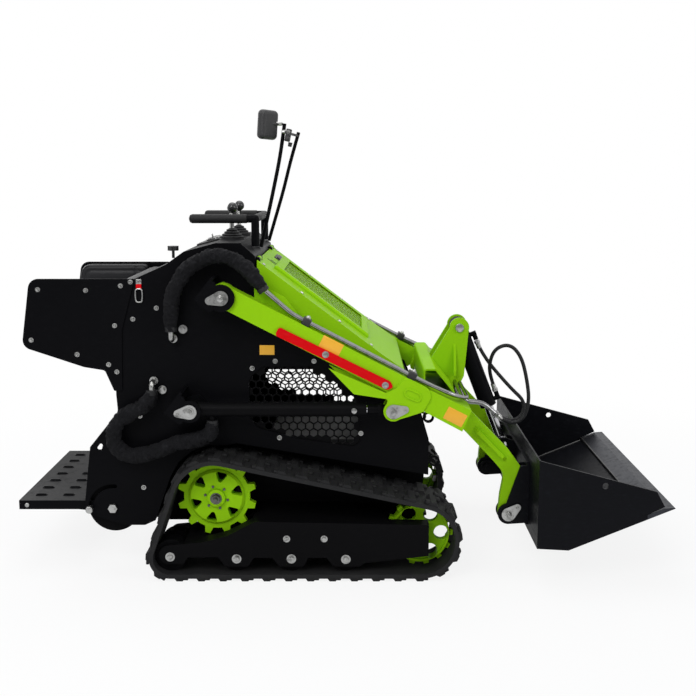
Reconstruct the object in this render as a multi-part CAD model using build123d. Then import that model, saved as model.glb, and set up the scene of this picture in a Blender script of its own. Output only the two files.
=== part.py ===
"""Mini skid steer loader on rubber tracks, with a lift boom, a bucket and a fold-up rider step.

Lengths are in millimetres. X points forward, Y to the far side and Z up. The origin is on the
ground under the middle of the machine. Most pieces are drawn for the near side, where Y is
negative, and mirrored to the far side.
"""
from build123d import *
import math
import os

os.makedirs("parts", exist_ok=True)

# Clearances
SEAT = 0.3            # between pieces that seat on each other without touching
RUN_FIT = 0.05        # radial clearance of a pin in its bore
MOVE_GAP = 6.0        # between a moving piece and what it passes

# Body
BODY_HALF = 355.0     # centre plane to the outer face of a side plate
SIDE_WALL = 6.0
BODY_IN = BODY_HALF - SIDE_WALL
SHEET = 4.0
TUB_WALL = 6.0
TUB_FLOOR = 140.0
REAR_WALL_X = -776.0
FRONT_X = 317.0
TIE_RING = 20.0
TIE_BORE = 12.5
CONSOLE_TOP = 1173.0
CONSOLE_LINE = [(-736, 697), (-736, 1030), (-710, 1049), (-601, 1098), (-538, 1143),
                (-427, CONSOLE_TOP), (-341, CONSOLE_TOP), (-290, 1128), (-290, 1104)]

# Running gear
TRACK_STAND = 135.0   # side plate's outer face to a track's outer edge
TRACK_WIDTH = 230.0
TRACK_ROOM = 28.0     # track's inner edge to the tub
TRACK_OUT = BODY_HALF + TRACK_STAND
TUB_HALF = TRACK_OUT - TRACK_WIDTH - TRACK_ROOM
BELT = 15.0
LUG_HEIGHT = 11.0
LUG_BASE = 37.0
LUG_TIP = 21.0
LUG_REACH = 104.0     # length of a lug block across the belt
LUG_COUNT = 34
SPROCKET_X = -435.0
SPROCKET_Z = 279.0
SPROCKET_TIP = 140.0
SPROCKET_ROOT = 117.0
SPROCKET_TEETH = 12
SPROCKET_WIDTH = 26.0
IDLER_X = 285.0
IDLER_TIP = 119.0
IDLER_ROOT = 106.0
IDLER_TEETH = 14
TAIL_X = -593.0
TAIL_R = 57.0
ROLLER_R = 45.0
ROLLER_WIDTH = 150.0
ROLLER_XS = (-360.0, -168.0, 23.0)
BELT_FLOOR = LUG_HEIGHT + BELT
IDLER_Z = BELT_FLOOR + IDLER_TIP + SEAT
TAIL_Z = BELT_FLOOR + TAIL_R + SEAT
ROLLER_Z = BELT_FLOOR + ROLLER_R + SEAT
TRACK_MID = TRACK_OUT - TRACK_WIDTH / 2
FRAME_OUT = TRACK_OUT - 20.0
FRAME_IN = TUB_HALF + SEAT
FRAME_WALL = 8.0

# Boom
PIVOT_X = -395.0
PIVOT_Z = 997.0
PIVOT_PIN = 20.0
ARM_MID = BODY_HALF + 86.0   # centre plane to the middle of an arm
ARM_WIDTH = 60.0
ARM_WALL = 5.0
ARM_DEPTH = 84.0      # vertical depth of the rear arm tube
ARM_SLOPE = 0.516     # fall of the rear arm for each unit forward
KNEE_PLATE = 8.0
KNEE_X = 186.0
KNEE_Z = 607.0
LIFT_PIN = 16.0
LEG_WIDTH = 30.0
LEG_RIB = 16.0        # height of the rib on a leg's outer face
LEG_OUT = ARM_MID - 111.0
LEG_IN = LEG_OUT - LEG_WIDTH
COUPLER_X = 608.0
COUPLER_Z = 199.0
COUPLER_PIN = 16.0
TILT_X = 450.0
TILT_Z = 835.0
TILT_PIN = 16.0
TILT_PLATE_IN = 45.0
TILT_PLATE = 12.0
TILT_RIB = 27.0       # depth of the rib on a bracket plate's outer face

# Cylinders
LIFT_REAR_X = -510.0
LIFT_REAR_Z = 607.0
LIFT_BARREL = 25.0
LIFT_BORE = 20.0
LIFT_ROD = 15.0
LIFT_BARREL_END = 605.0   # rear pin to the end of the gland
LIFT_PORT = 72.0          # rear pin to the rear port
LIFT_PORT_RISE = 15.0
TILT_BARREL = 32.0
TILT_BORE = 26.0
TILT_ROD = 17.0
TILT_BARREL_END = 335.0
TILT_PORTS = (50.0, 318.0)   # upper pin to each port
PORT_RISE = 14.0
PORT_REACH = 26.0
EYE_R = 30.0
EYE_HALF = 24.0
BUCKET_PIN_X = 630.0
BUCKET_PIN_Z = 375.0
BUCKET_PIN = 14.0

# Coupler and bucket
EAR = 10.0
COUPLER_PLATE_X = 670.0
COUPLER_PLATE = 10.0
BUCKET_HALF = 535.0
BUCKET_SIDE = 8.0
BUCKET_SHEET = 6.0
BUCKET_BACK_X = COUPLER_PLATE_X + COUPLER_PLATE + SEAT
EDGE_TIP_X = 1150.0
EDGE_TIP_Z = 281.0
HEEL_X = 789.0
HEEL_Z = 131.0
BUCKET_HOLE = 11.0

# Rider step
STEP_PIVOT_X = -813.0
STEP_PIVOT_Z = 225.0
STEP_PIN = 10.0
STEP_HALF = BODY_IN - MOVE_GAP
STEP_REAR_X = -1154.0
STEP_FRONT_X = -919.0
STEP_TOP_Z = 249.0
STEP_DEPTH = 33.0
STEP_ARM = 8.0
LOCK_RADIUS = 80.0
LOCK_PIN = 6.5

# Hood
HOOD_TOP_X = -284.0
HOOD_TOP_Z = 1113.0
HOOD_MID_X = 149.0
HOOD_MID_Z = 785.0
HOOD_WALL = 4.0
HOOD_SKIRT = 122.0
HINGE_SPAN = (BODY_HALF - 105.0, BODY_HALF - 55.0)   # centre plane to the ends of a hinge knuckle
HINGE_R = 9.0
HINGE_PIN = 5.0
HINGE_LEAF = 26.0             # length of a console knuckle


def outline(*corners):
    """Closed face in X and Z. A corner is (x, z), or (x, z, radius) where it is rounded."""
    points = [corner[:2] for corner in corners]
    radii = [corner[2] if len(corner) > 2 else 0 for corner in corners]
    return make_face(FilletPolyline(*points, radius=radii, close=True))


def slab(profile, y_from, y_to):
    """Profile in X and Z made solid from one Y to another."""
    low, high = sorted((y_from, y_to))
    return extrude(Plane.XZ.offset(-low) * profile, amount=-(high - low))


def disc(x, z, radius, y_from, y_to):
    """Cylinder along Y."""
    return slab(Pos(x, z) * Circle(radius), y_from, y_to)


def block(x_from, x_to, y_from, y_to, z_from, z_to):
    """Box between two limits on each axis."""
    size = (x_to - x_from, y_to - y_from, z_to - z_from)
    middle = ((x_from + x_to) / 2, (y_from + y_to) / 2, (z_from + z_to) / 2)
    return Pos(*middle) * Box(*size)


def far(shape):
    """The mirror image on the far side."""
    return mirror(shape, about=Plane.XZ)


def strip(points, thickness):
    """Bent sheet seen on edge: the line of points thickened to its left, corners mitred."""
    left = []
    for index, point in enumerate(points):
        headings = []
        for first, second in ((index - 1, index), (index, index + 1)):
            if first >= 0 and second < len(points):
                run = (points[second][0] - points[first][0], points[second][1] - points[first][1])
                headings.append(math.atan2(run[1], run[0]))
        middle = sum(headings) / len(headings)
        reach = thickness / math.cos((headings[-1] - headings[0]) / 2)
        left.append((point[0] - reach * math.sin(middle), point[1] + reach * math.cos(middle)))
    return make_face(Polyline(*points, *reversed(left), close=True))


def tube_along(points, radius):
    """Round bar along straight runs joined by arcs as large as the runs allow."""
    vectors = [Vector(*point) for point in points]
    radii = []
    for before, here, after in zip(vectors, vectors[1:], vectors[2:]):
        turn = math.radians((here - before).get_angle(after - here))
        shorter = min((here - before).length, (after - here).length)
        radii.append(0.45 * shorter / math.tan(turn / 2))
    path = FilletPolyline(*points, radius=radii) if radii else Line(*points)
    start = Plane(origin=path @ 0, z_dir=path % 0)
    return sweep(start * Circle(radius), path=path), radii


def write(node, *shapes):
    """One STEP file with every solid of the shapes."""
    solids = [solid for shape in shapes for solid in shape.solids()]
    export_step(Compound(solids), f"parts/{node}.step")


# Track belt line: the wheels that it goes round, as (x, z, radius of the belt's inner face)
BELT_WHEELS = [
    (TAIL_X, TAIL_Z, TAIL_R + SEAT),
    (IDLER_X, IDLER_Z, IDLER_TIP + SEAT),
    (SPROCKET_X, SPROCKET_Z, SPROCKET_TIP + SEAT),
]


def belt_runs(reach):
    """Runs of the belt at a reach outside its inner face: (length, wheel, first normal, turn)."""
    runs = []
    normals = []
    wheels = [(x, z, radius + reach) for x, z, radius in BELT_WHEELS]
    for here, after in zip(wheels, wheels[1:] + wheels[:1]):
        span = math.dist(here[:2], after[:2])
        heading = math.atan2(after[1] - here[1], after[0] - here[0])
        normals.append((heading - math.acos((here[2] - after[2]) / span), span))
    for index, wheel in enumerate(wheels):
        normal, span = normals[index]
        before = normals[index - 1][0]
        turn = (normal - before) % (2 * math.pi)
        following = wheels[(index + 1) % len(wheels)]
        straight = math.sqrt(span ** 2 - (wheel[2] - following[2]) ** 2)
        runs.append((wheel[2] * turn, wheel, before, turn))
        runs.append((straight, wheel, normal, 0))
    return runs


def belt_station(runs, distance):
    """Point on the belt line and its outward angle, a distance along it."""
    for length, wheel, normal, turn in runs:
        if distance <= length:
            break
        distance -= length
    angle = normal + (turn * distance / length if turn else 0)
    x = wheel[0] + wheel[2] * math.cos(angle)
    z = wheel[1] + wheel[2] * math.sin(angle)
    if not turn:
        x -= distance * math.sin(angle)
        z += distance * math.cos(angle)
    return x, z, angle


def belt_loop(reach):
    """Face inside the belt line at a reach outside its inner face."""
    circles = [Pos(x, z) * Circle(radius + reach) for x, z, radius in BELT_WHEELS]
    return make_hull([edge for circle in circles for edge in circle.edges()])


def lug(x, z, angle, y_from, y_to):
    """One tread block, standing on the belt's outer face."""
    root = 3.0
    foot = LUG_BASE / 2 + root * (LUG_BASE - LUG_TIP) / 2 / LUG_HEIGHT
    tip = LUG_TIP / 2
    face = Polyline((-root, -foot), (LUG_HEIGHT, -tip), (LUG_HEIGHT, tip), (-root, foot), close=True)
    placed = Pos(x, z) * Rot(0, 0, math.degrees(angle)) * make_face(face)
    return slab(placed, y_from, y_to)


def rubber_track():
    """Near track: an endless belt with two staggered rows of tread blocks."""
    belt = slab(belt_loop(BELT) - belt_loop(0), -TRACK_OUT, -TRACK_OUT + TRACK_WIDTH)
    runs = belt_runs(BELT)
    around = sum(run[0] for run in runs)
    pitch = around / LUG_COUNT
    edge = 3.0
    rows = ((-TRACK_OUT + edge, 0.25), (-TRACK_OUT + TRACK_WIDTH - edge - LUG_REACH, 0.75))
    blocks = []
    for y_from, lag in rows:
        for index in range(LUG_COUNT):
            x, z, angle = belt_station(runs, (index + lag) * pitch)
            blocks.append(lug(x, z, angle, y_from, y_from + LUG_REACH))
    return belt.fuse(*blocks)


def toothed_disc(root, tip, teeth, root_half, tip_half, phase):
    """Face of a wheel with blunt teeth, about its own centre."""
    face = Circle(root)
    base = root - 8
    tip = math.sqrt(tip ** 2 - tip_half ** 2)
    for index in range(teeth):
        tooth = Polyline((base, -root_half), (tip, -tip_half), (tip, tip_half), (base, root_half), close=True)
        face += Rot(0, 0, phase + index * 360 / teeth) * make_face(tooth)
    return face


def drive_sprocket():
    """Near drive sprocket: toothed rim, raised dish with six windows, and hub."""
    dish_r = 99.0
    dish_rise = 13.0
    hub_r = 32.0
    hub_rise = 15.0
    window_at = 72.0
    rim = toothed_disc(SPROCKET_ROOT, SPROCKET_TIP, SPROCKET_TEETH, 17, 9, 15)
    window = make_face(FilletPolyline((47, 0), (92, -25), (92, 25), radius=[8, 8, 8], close=True))
    windows = [Rot(0, 0, 17 + index * 60) * window for index in range(6)]
    at = Pos(SPROCKET_X, SPROCKET_Z)
    rim_out = TRACK_MID + SPROCKET_WIDTH / 2
    wheel = slab(at * rim, -rim_out, -rim_out + SPROCKET_WIDTH)
    dish = slab(at * Circle(dish_r), -rim_out - dish_rise, -rim_out)
    dish = chamfer(dish.faces().sort_by(Axis.Y)[0].edges(), 8)
    hub = slab(at * Circle(hub_r), -rim_out - dish_rise - hub_rise, -rim_out)
    hub = fillet(hub.faces().sort_by(Axis.Y)[0].edges(), 5)
    wheel = wheel + dish + hub
    for hole in windows:
        wheel -= slab(at * hole, -rim_out - 2 * dish_rise, -rim_out + SPROCKET_WIDTH + 1)
    return wheel


def front_idler():
    """Near front idler: short teeth, two rim flanges, six round holes and an axle."""
    hole_at = 77.0
    hole_r = 26.0
    rim = toothed_disc(IDLER_ROOT, IDLER_TIP, IDLER_TEETH, 13, 9, 0)
    at = Pos(IDLER_X, IDLER_Z)
    width = SPROCKET_WIDTH
    out = TRACK_MID + width / 2
    wheel = slab(at * rim, -out, -out + width)
    wheel += slab(at * (Circle(IDLER_ROOT - 1) - Circle(IDLER_ROOT - 9)), -out - 12, -out + width + 12)
    wheel += disc(IDLER_X, IDLER_Z, 38, -out - 18, -out + width + 18)
    for index in range(6):
        angle = math.radians(index * 60)
        x = IDLER_X + hole_at * math.cos(angle)
        z = IDLER_Z + hole_at * math.sin(angle)
        wheel -= disc(x, z, hole_r, -out - 20, -out + width + 20)
    axle_out = FRAME_OUT - FRAME_WALL - SEAT
    wheel += disc(IDLER_X, IDLER_Z, 18, -axle_out, -FRAME_IN - FRAME_WALL - SEAT)
    return wheel


def track_rollers():
    """Near bottom rollers and tail wheel, each with a groove for the belt's guides."""
    table = [(x, ROLLER_Z, ROLLER_R) for x in ROLLER_XS] + [(TAIL_X, TAIL_Z, TAIL_R)]
    out = FRAME_OUT - FRAME_WALL - SEAT
    inner = FRAME_IN + FRAME_WALL + SEAT
    wheels = []
    for x, z, radius in table:
        half = ROLLER_WIDTH / 2
        wheel = disc(x, z, radius, -TRACK_MID - half, -TRACK_MID + half)
        wheel -= disc(x, z, radius + 1, -TRACK_MID - 22, -TRACK_MID + 22) - disc(
            x, z, radius - 14, -TRACK_MID - 22, -TRACK_MID + 22)
        wheels.append(wheel + disc(x, z, 16, -out, -inner))
    return wheels


def track_frame():
    """Near track frame: a box open below, cut round the sprocket and the idler."""
    top = [(TAIL_X - 38, 58, 30), (TAIL_X - 38, 122, 34), (-480, 137, 60), (-396, 158, 60), (-294, 212, 30),
           (313, 200), (313, 87)]
    bottom = [(90, 61, 10), (70, 48, 12), (-20, 48, 12), (-45, 80, 10), (-110, 80, 10), (-125, 48, 12),
              (-210, 48, 12), (-235, 80, 10), (-300, 80, 10), (-320, 48, 12), (-400, 48, 12), (-425, 82, 10),
              (-530, 82, 10), (-550, 58, 10)]
    face = outline(*top, *bottom)
    frame = slab(face, -FRAME_OUT, -FRAME_IN)
    lid = [(x, z - FRAME_WALL) for x, z in ((-480, 137), (-396, 158), (-294, 212), (321, 200))]
    hollow = outline((TAIL_X - 60, 0), (TAIL_X - 60, 114), *lid, (321, 0))
    frame -= slab(hollow, -FRAME_OUT + FRAME_WALL, -FRAME_IN - FRAME_WALL)
    slot = SPROCKET_WIDTH / 2 + 16
    frame -= disc(SPROCKET_X, SPROCKET_Z, SPROCKET_TIP + 10, -TRACK_MID - slot, -TRACK_MID + slot)
    frame -= disc(IDLER_X, IDLER_Z, IDLER_TIP + 10, -TRACK_MID - slot - 8, -TRACK_MID + slot + 8)
    half = ROLLER_WIDTH / 2 + MOVE_GAP
    frame -= disc(TAIL_X, TAIL_Z, TAIL_R + 10, -TRACK_MID - half, -TRACK_MID + half)
    return frame


def fender_line():
    """Lower edge of the body over the near track, from the rear to the front."""
    gap = 14.0
    x, z, radius = BELT_WHEELS[2]
    reach = radius + BELT + LUG_HEIGHT + gap
    runs = belt_runs(BELT + LUG_HEIGHT + gap)
    last = belt_station(runs, sum(run[0] for run in runs[:5]) + runs[5][0] * 0.72)
    start = runs[5][2]
    arc = [(x + reach * math.cos(start - step), z + reach * math.sin(start - step))
           for step in (0.0, 0.35, 0.7, 1.05, 1.4)]
    return [(last[0], last[1]), *arc, (-365.0, 464.0), (FRONT_X, 348.0)]


def side_plate():
    """Near side plate, with the vent opening, the step's slot and the bores."""
    low = fender_line()
    slope = (HOOD_TOP_Z - HOOD_MID_Z) / (HOOD_MID_X - HOOD_TOP_X)
    hood_low = HOOD_TOP_Z - HOOD_SKIRT - MOVE_GAP
    hood_rear = HOOD_TOP_X - MOVE_GAP
    line_at = 150.0
    corner = hood_low - slope * (line_at - HOOD_TOP_X)
    top = [(-787, 1049), (-710, 1049), (-601, 1098, 60), (-538, 1143, 60), (-427, 1173, 60), (-341, 1173, 30),
           (hood_rear, 1128), (hood_rear, hood_low), (line_at, corner), (262, 640, 12), (288, 578, 40), (FRONT_X, 479, 20)]
    rear = [(-700, 161, 10), (-775, 161, 20), (-883, 196, 20), (-912, 212, 15), (-912, 255, 20), (-887, 450, 10),
            (-783, 578, 30), (-787, 640, 20)]
    plate = slab(outline(*top, *reversed(low), *rear), -BODY_HALF, -BODY_IN)
    plate -= slab(vent_outline(0), -BODY_HALF - 1, -BODY_IN + 1)
    plate -= disc(STEP_PIVOT_X, STEP_PIVOT_Z, STEP_PIN + RUN_FIT, -BODY_HALF - 1, -BODY_IN + 1)
    plate -= slab(lock_slot(), -BODY_HALF - 1, -BODY_IN + 1)
    for x, z, pin in ((PIVOT_X, PIVOT_Z, PIVOT_PIN), (LIFT_REAR_X, LIFT_REAR_Z, LIFT_PIN)):
        plate -= disc(x, z, pin + RUN_FIT, -BODY_HALF - 1, -BODY_IN + 1)
    plate -= slab(outline((-846, 440, 6), (-868, 440, 6), (-834, 484, 6)), -BODY_HALF - 1, -BODY_IN + 1)
    return plate


def lock_slot():
    """Curved slot about the step's pivot, for its lock pin."""
    half = LOCK_PIN + 1.5
    first, last = math.radians(84), math.radians(184)
    ring = Circle(LOCK_RADIUS + half) - Circle(LOCK_RADIUS - half)
    reach = 2 * LOCK_RADIUS
    wedge = Polyline((0, 0), *((reach * math.cos(angle), reach * math.sin(angle))
                               for angle in (first, (first + last) / 2, last)), close=True)
    face = ring & make_face(wedge)
    for angle in (first, last):
        face += Pos(LOCK_RADIUS * math.cos(angle), LOCK_RADIUS * math.sin(angle)) * Circle(half)
    return Pos(STEP_PIVOT_X, STEP_PIVOT_Z) * face


def vent_outline(margin):
    """Opening of the body's vent, grown by a margin."""
    face = outline((-318, 700, 30), (-270, 742, 30), (-95, 742, 30), (76, 618, 30), (76, 470, 30), (50, 452, 20),
                   (-140, 480, 60), (-290, 520, 40), (-318, 560, 30))
    return offset(face, margin).face() if margin else face


def vent_grille():
    """Near vent grille: a thin plate with hexagon cells behind the opening."""
    cell = 29.0
    web = 5.0
    lap = 14.0
    sheet = 3.0
    plate = vent_outline(lap)
    field = vent_outline(-9)
    hexagon = RegularPolygon((cell - web) / 2, 6, major_radius=False, rotation=30)
    box = field.bounding_box()
    rise = cell * math.sqrt(3) / 2
    cells = []
    for row in range(int((box.max.Y - box.min.Y) / rise) + 1):
        for column in range(int((box.max.X - box.min.X) / cell) + 2):
            x = box.min.X + (column + (row % 2) / 2) * cell
            z = box.min.Y + (row + 0.5) * rise
            if field.is_inside(Vector(x, z, 0)):
                cells.append(slab(Pos(x, z) * hexagon, -BODY_IN - 1, -BODY_IN + sheet + 1))
    return slab(plate, -BODY_IN, -BODY_IN + sheet).cut(*cells)


def chassis_tub():
    """Lower body between the tracks, the shelves over the tracks and the rear wall."""
    floor_line = [(-739, 692), (REAR_WALL_X, 645), (REAR_WALL_X, 172), (-640, TUB_FLOOR), (290, TUB_FLOOR),
                  (FRONT_X - 4, 346)]
    width = BODY_IN - SEAT
    tub = slab(strip(floor_line, SHEET + 1), -TUB_HALF, TUB_HALF)
    rear = slab(strip([(-739, 692), (REAR_WALL_X, 645), (REAR_WALL_X, 168), (-706, 168)], SHEET + 1), -width, width)
    low = [(x, z + 1.5) for x, z in fender_line()]
    low[-1] = (FRONT_X - 8, low[-1][1] + 2)
    pieces = [rear]
    shelf = slab(strip(list(reversed(low)), -(SHEET + 1)), -width, -TUB_HALF + 1)
    wall_line = [(REAR_WALL_X + 2, 172), (-640, TUB_FLOOR), (290, TUB_FLOOR), (FRONT_X - 8, 352), *reversed(low[1:-1]),
                 (-640, 420), (REAR_WALL_X + 2, 420)]
    wall = slab(outline(*wall_line), -TUB_HALF, -TUB_HALF + TUB_WALL)
    closing = slab(outline((REAR_WALL_X + 2, 172), (-706, 168), (low[0][0], low[0][1]), (-640, 420),
                           (REAR_WALL_X + 2, 420)), -width, -width + SHEET)
    for piece in (shelf, wall):
        pieces += [piece, far(piece)]
    return tub.fuse(*pieces)


def front_panel():
    """Slanted front cover between the side plates, with a row of air slots."""
    line = [(FRONT_X - 8, 358), (FRONT_X - 8, 479), (280, 578), (256, 634)]
    width = BODY_IN - SEAT
    panel = slab(strip(line, SHEET), -width, width)
    slots = []
    for row in range(5):
        z = 392 + row * 20
        for side in (-1, 1):
            slots.append(block(FRONT_X - 30, FRONT_X + 10, side * 110 - 85, side * 110 + 85, z - 5, z + 5))
    return panel.cut(*slots)


def console():
    """Bent cover of the operator's console."""
    width = BODY_IN - SEAT
    cover = slab(strip(list(reversed(CONSOLE_LINE)), SHEET), -width, width)
    inner, outer = HINGE_SPAN
    leaf = HINGE_LEAF
    for y_from, y_to in ((-outer - leaf, -outer - 1), (-inner + 1, -inner + leaf)):
        near = disc(HOOD_TOP_X, HOOD_TOP_Z, HINGE_R, y_from, y_to)
        near += block(HOOD_TOP_X - MOVE_GAP - 1, HOOD_TOP_X, y_from, y_to, HOOD_TOP_Z - HINGE_R, HOOD_TOP_Z + HINGE_R)
        cover += near + far(near)
    room = disc(HOOD_TOP_X, HOOD_TOP_Z, HINGE_R + 2, -outer - 1, -inner + 1)
    cover -= room + far(room)
    pin = disc(HOOD_TOP_X, HOOD_TOP_Z, HINGE_PIN, -outer - leaf, -inner + leaf)
    return cover + pin + far(pin)


def wing_panel():
    """Near hip guard panel, lapped on the side plate."""
    face = outline((-1073, 1050, 36), (-714, 1050), (-714, 1028), (-758, 871, 60), (-764, 655, 6), (-792, 655, 6),
                   (-822, 728, 14), (-895, 740, 60), (-1109, 812, 34))
    return slab(face, -BODY_HALF - SIDE_WALL, -BODY_HALF)


def hip_pads():
    """Leather pads: one inside each hip guard and one across the back of the console."""
    side = outline((-1064, 1042, 40), (-794, 1042, 14), (-794, 770, 14), (-900, 772, 30), (-1092, 838, 40))
    near = slab(side, -BODY_HALF + SEAT, -BODY_HALF + 38)
    near = fillet(near.faces().sort_by(Axis.Y)[-1].edges(), 12)
    half = BODY_HALF - 43
    back = block(REAR_WALL_X, CONSOLE_LINE[0][0] - SEAT, -half, half, 735, 1036)
    back = fillet(back.faces().sort_by(Axis.X)[0].edges(), 12)
    return [near, far(near), back]


def pin_brackets():
    """Black brackets that carry the boom's rear pins and the lift cylinders' rear pins."""
    out = ARM_MID + ARM_WIDTH / 2 + MOVE_GAP
    pieces = []
    table = [  # pin x, pin z, pin radius, plate corners, boss reach from the centre plane, boss radius
        (PIVOT_X, PIVOT_Z, PIVOT_PIN, [(-418, 1062, 8), (-478, 986, 8), (-432, 946, 10)],
         ARM_MID - ARM_WIDTH / 2 - MOVE_GAP, 46.0),
        (LIFT_REAR_X, LIFT_REAR_Z, LIFT_PIN, [(-533, 670, 8), (-590, 597, 8), (-542, 560, 10)],
         ARM_MID - EYE_HALF - MOVE_GAP, 38.0),
    ]
    for x, z, pin, corners, boss_to, boss_r in table:
        first, second = corners[0][:2], corners[1][:2]
        plate = slab(outline(*corners, (x, z)) + Pos(x, z) * Circle(boss_r), -out - 8, -out)
        web = slab(strip([second, first], 10), -out - 8, -BODY_HALF)
        boss = disc(x, z, boss_r, -boss_to, -BODY_HALF)
        bore = disc(x, z, pin + RUN_FIT, -out - 10, -BODY_IN + 10)
        pieces.append(plate + web + boss - bore)
    return pieces


def bracket_pins():
    """Zinc pins with drop-shaped keepers, and the step's pivot bolts."""
    out = ARM_MID + ARM_WIDTH / 2 + MOVE_GAP + 8
    pieces = []
    table = [  # x, z, pin radius, keeper tail direction in degrees
        (PIVOT_X, PIVOT_Z, PIVOT_PIN, 192),
        (LIFT_REAR_X, LIFT_REAR_Z, LIFT_PIN, 187),
    ]
    for x, z, pin, tail in table:
        shaft = disc(x, z, pin, -out - 8, -BODY_IN)
        pieces.append(shaft + keeper(x, z, tail, -out - 6, -out))
    bolt = disc(STEP_PIVOT_X, STEP_PIVOT_Z, STEP_PIN, -BODY_HALF - 2, -STEP_HALF + STEP_ARM + 4)
    bolt += slab(Pos(STEP_PIVOT_X, STEP_PIVOT_Z) * RegularPolygon(17, 6), -BODY_HALF - 12, -BODY_HALF)
    pieces.append(bolt)
    return pieces


def keeper(x, z, tail, y_from, y_to):
    """Drop-shaped plate that locks a pin: a round head and a smaller round tail."""
    reach = 40.0
    angle = math.radians(tail)
    head = Pos(x, z) * Circle(25)
    end = Pos(x + reach * math.cos(angle), z + reach * math.sin(angle)) * Circle(13)
    return slab(make_hull([*head.edges(), *end.edges()]), y_from, y_to)


def boom_arm():
    """Near boom arm: rear tube with its boss, two knee plates and the front box."""
    out = ARM_MID + ARM_WIDTH / 2
    inner = ARM_MID - ARM_WIDTH / 2
    upper = PIVOT_Z + 49
    end = 236.0
    drop = ARM_SLOPE * (end - PIVOT_X)
    tube_face = outline((PIVOT_X, upper), (end, upper - drop), (end - 40, upper - drop - ARM_DEPTH + 21),
                        (PIVOT_X, upper - ARM_DEPTH))
    tube = slab(tube_face, -out, -inner)
    tube -= slab(offset(tube_face, -ARM_WALL), -out + ARM_WALL, -inner - ARM_WALL)
    boss = disc(PIVOT_X, PIVOT_Z, 46, -out, -inner)
    knee_face = outline((KNEE_X + 10, 689, 4), (227, 722, 10), (308, 681, 10), (314, 655, 8), (286, 605, 20),
                        (KNEE_X, KNEE_Z - 34), (KNEE_X - 34, KNEE_Z), (KNEE_X - 17, 650, 8), (51, 668, 10),
                        (-34, 757), (KNEE_X - 26, 672))
    knee_face += Pos(KNEE_X, KNEE_Z) * Circle(34)
    plates = [slab(knee_face, -out - KNEE_PLATE, -out), slab(knee_face, -inner, -inner + KNEE_PLATE)]
    front_face = outline((289, 607), (312, 679), (454, 609), (423, 535))
    front = slab(front_face, -out, -LEG_OUT)
    front -= slab(offset(front_face, -ARM_WALL), -out + ARM_WALL, -LEG_OUT - ARM_WALL)
    gusset = slab(outline((-289, 980), (-289, 1047, 4), (-187, 994, 20), (-110, 895), (-150, 895)), -inner - ARM_WALL, -inner)
    arm = tube.fuse(boss, *plates, front, gusset)
    arm -= disc(PIVOT_X, PIVOT_Z, PIVOT_PIN + RUN_FIT, -out - 1, -inner + 1)
    return arm


def knee_pins():
    """Near zinc pin stubs at the lift rod's eye, one welded on each knee plate."""
    stubs = []
    for side in (-1, 1):
        face = -ARM_MID + side * (ARM_WIDTH / 2 + KNEE_PLATE)
        stubs.append(disc(KNEE_X, KNEE_Z, 22, face, face + side * 9))
    face = -ARM_MID - ARM_WIDTH / 2 - KNEE_PLATE
    stubs[0] += keeper(KNEE_X, KNEE_Z, 10, face - 6, face)
    return stubs


def cross_tube():
    """Cross member between the legs, under the tilt bracket."""
    face = outline((300, 592, 6), (300, 722, 12), (345, 722, 12), (412, 640, 10), (412, 585, 6))
    tube = slab(face, -LEG_IN, LEG_IN)
    return tube - slab(offset(face, -ARM_WALL - 1), -LEG_IN - 1, LEG_IN + 1)


def boom_leg():
    """Near leg: a curved plate from the front box down to the coupler's pin."""
    face = outline((352, 598), (372, 646), (475, 568), (606, 432, 90), (668, 345, 45), (646, 262, 60),
                   (COUPLER_X + 20, COUPLER_Z + 24), (COUPLER_X - 34, COUPLER_Z + 6), (578, 262, 40), (592, 345, 60),
                   (552, 392, 60), (446, 504))
    face += Pos(COUPLER_X, COUPLER_Z) * Circle(34)
    rib = outline((486, 520), (600, 402), (592, 392), (478, 508))
    leg = slab(face, -LEG_OUT, -LEG_IN)
    fin = slab(rib, -LEG_OUT - LEG_RIB, -LEG_OUT)
    ends = fin.faces().sort_by(Axis.Y)[0].edges().sort_by(SortBy.LENGTH)[:2]
    leg += chamfer(ends, LEG_RIB - 1)
    return leg - disc(COUPLER_X, COUPLER_Z, COUPLER_PIN + RUN_FIT, -LEG_OUT - 1, -LEG_IN + 1)


def tilt_bracket():
    """Two upright plates on the cross member and the tilt cylinder's upper pin."""
    face = outline((TILT_X - 36, TILT_Z), (346, 721), (412, 640), (412.3, 600), (446, 600), (470, 650),
                   (TILT_X + 36, TILT_Z))
    face += Pos(TILT_X, TILT_Z) * Circle(37)
    out = TILT_PLATE_IN + TILT_PLATE
    near = slab(face, -out, -TILT_PLATE_IN)
    low = COUPLER_Z + 456
    rib = Polyline((-out, TILT_Z - 60), (-out, low), (-out - TILT_RIB, low), (-out - TILT_RIB, low + 17), close=True)
    near += Pos(TILT_X - 22, 0, 0) * extrude(Plane.YZ * make_face(rib), 10)
    pin = disc(TILT_X, TILT_Z, TILT_PIN, -TILT_PLATE_IN - TILT_PLATE - 5, TILT_PLATE_IN + TILT_PLATE + 5)
    return near + far(near) + pin


def lock_bar():
    """Near red lock bar, stored on the arm's outer face."""
    out = ARM_MID + ARM_WIDTH / 2 + SEAT
    face = outline((-216, 871, 10), (-202, 899, 10), (176, 711, 18), (186, 690, 8), (163, 683, 12))
    return slab(face, -out - 8, -out)


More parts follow.
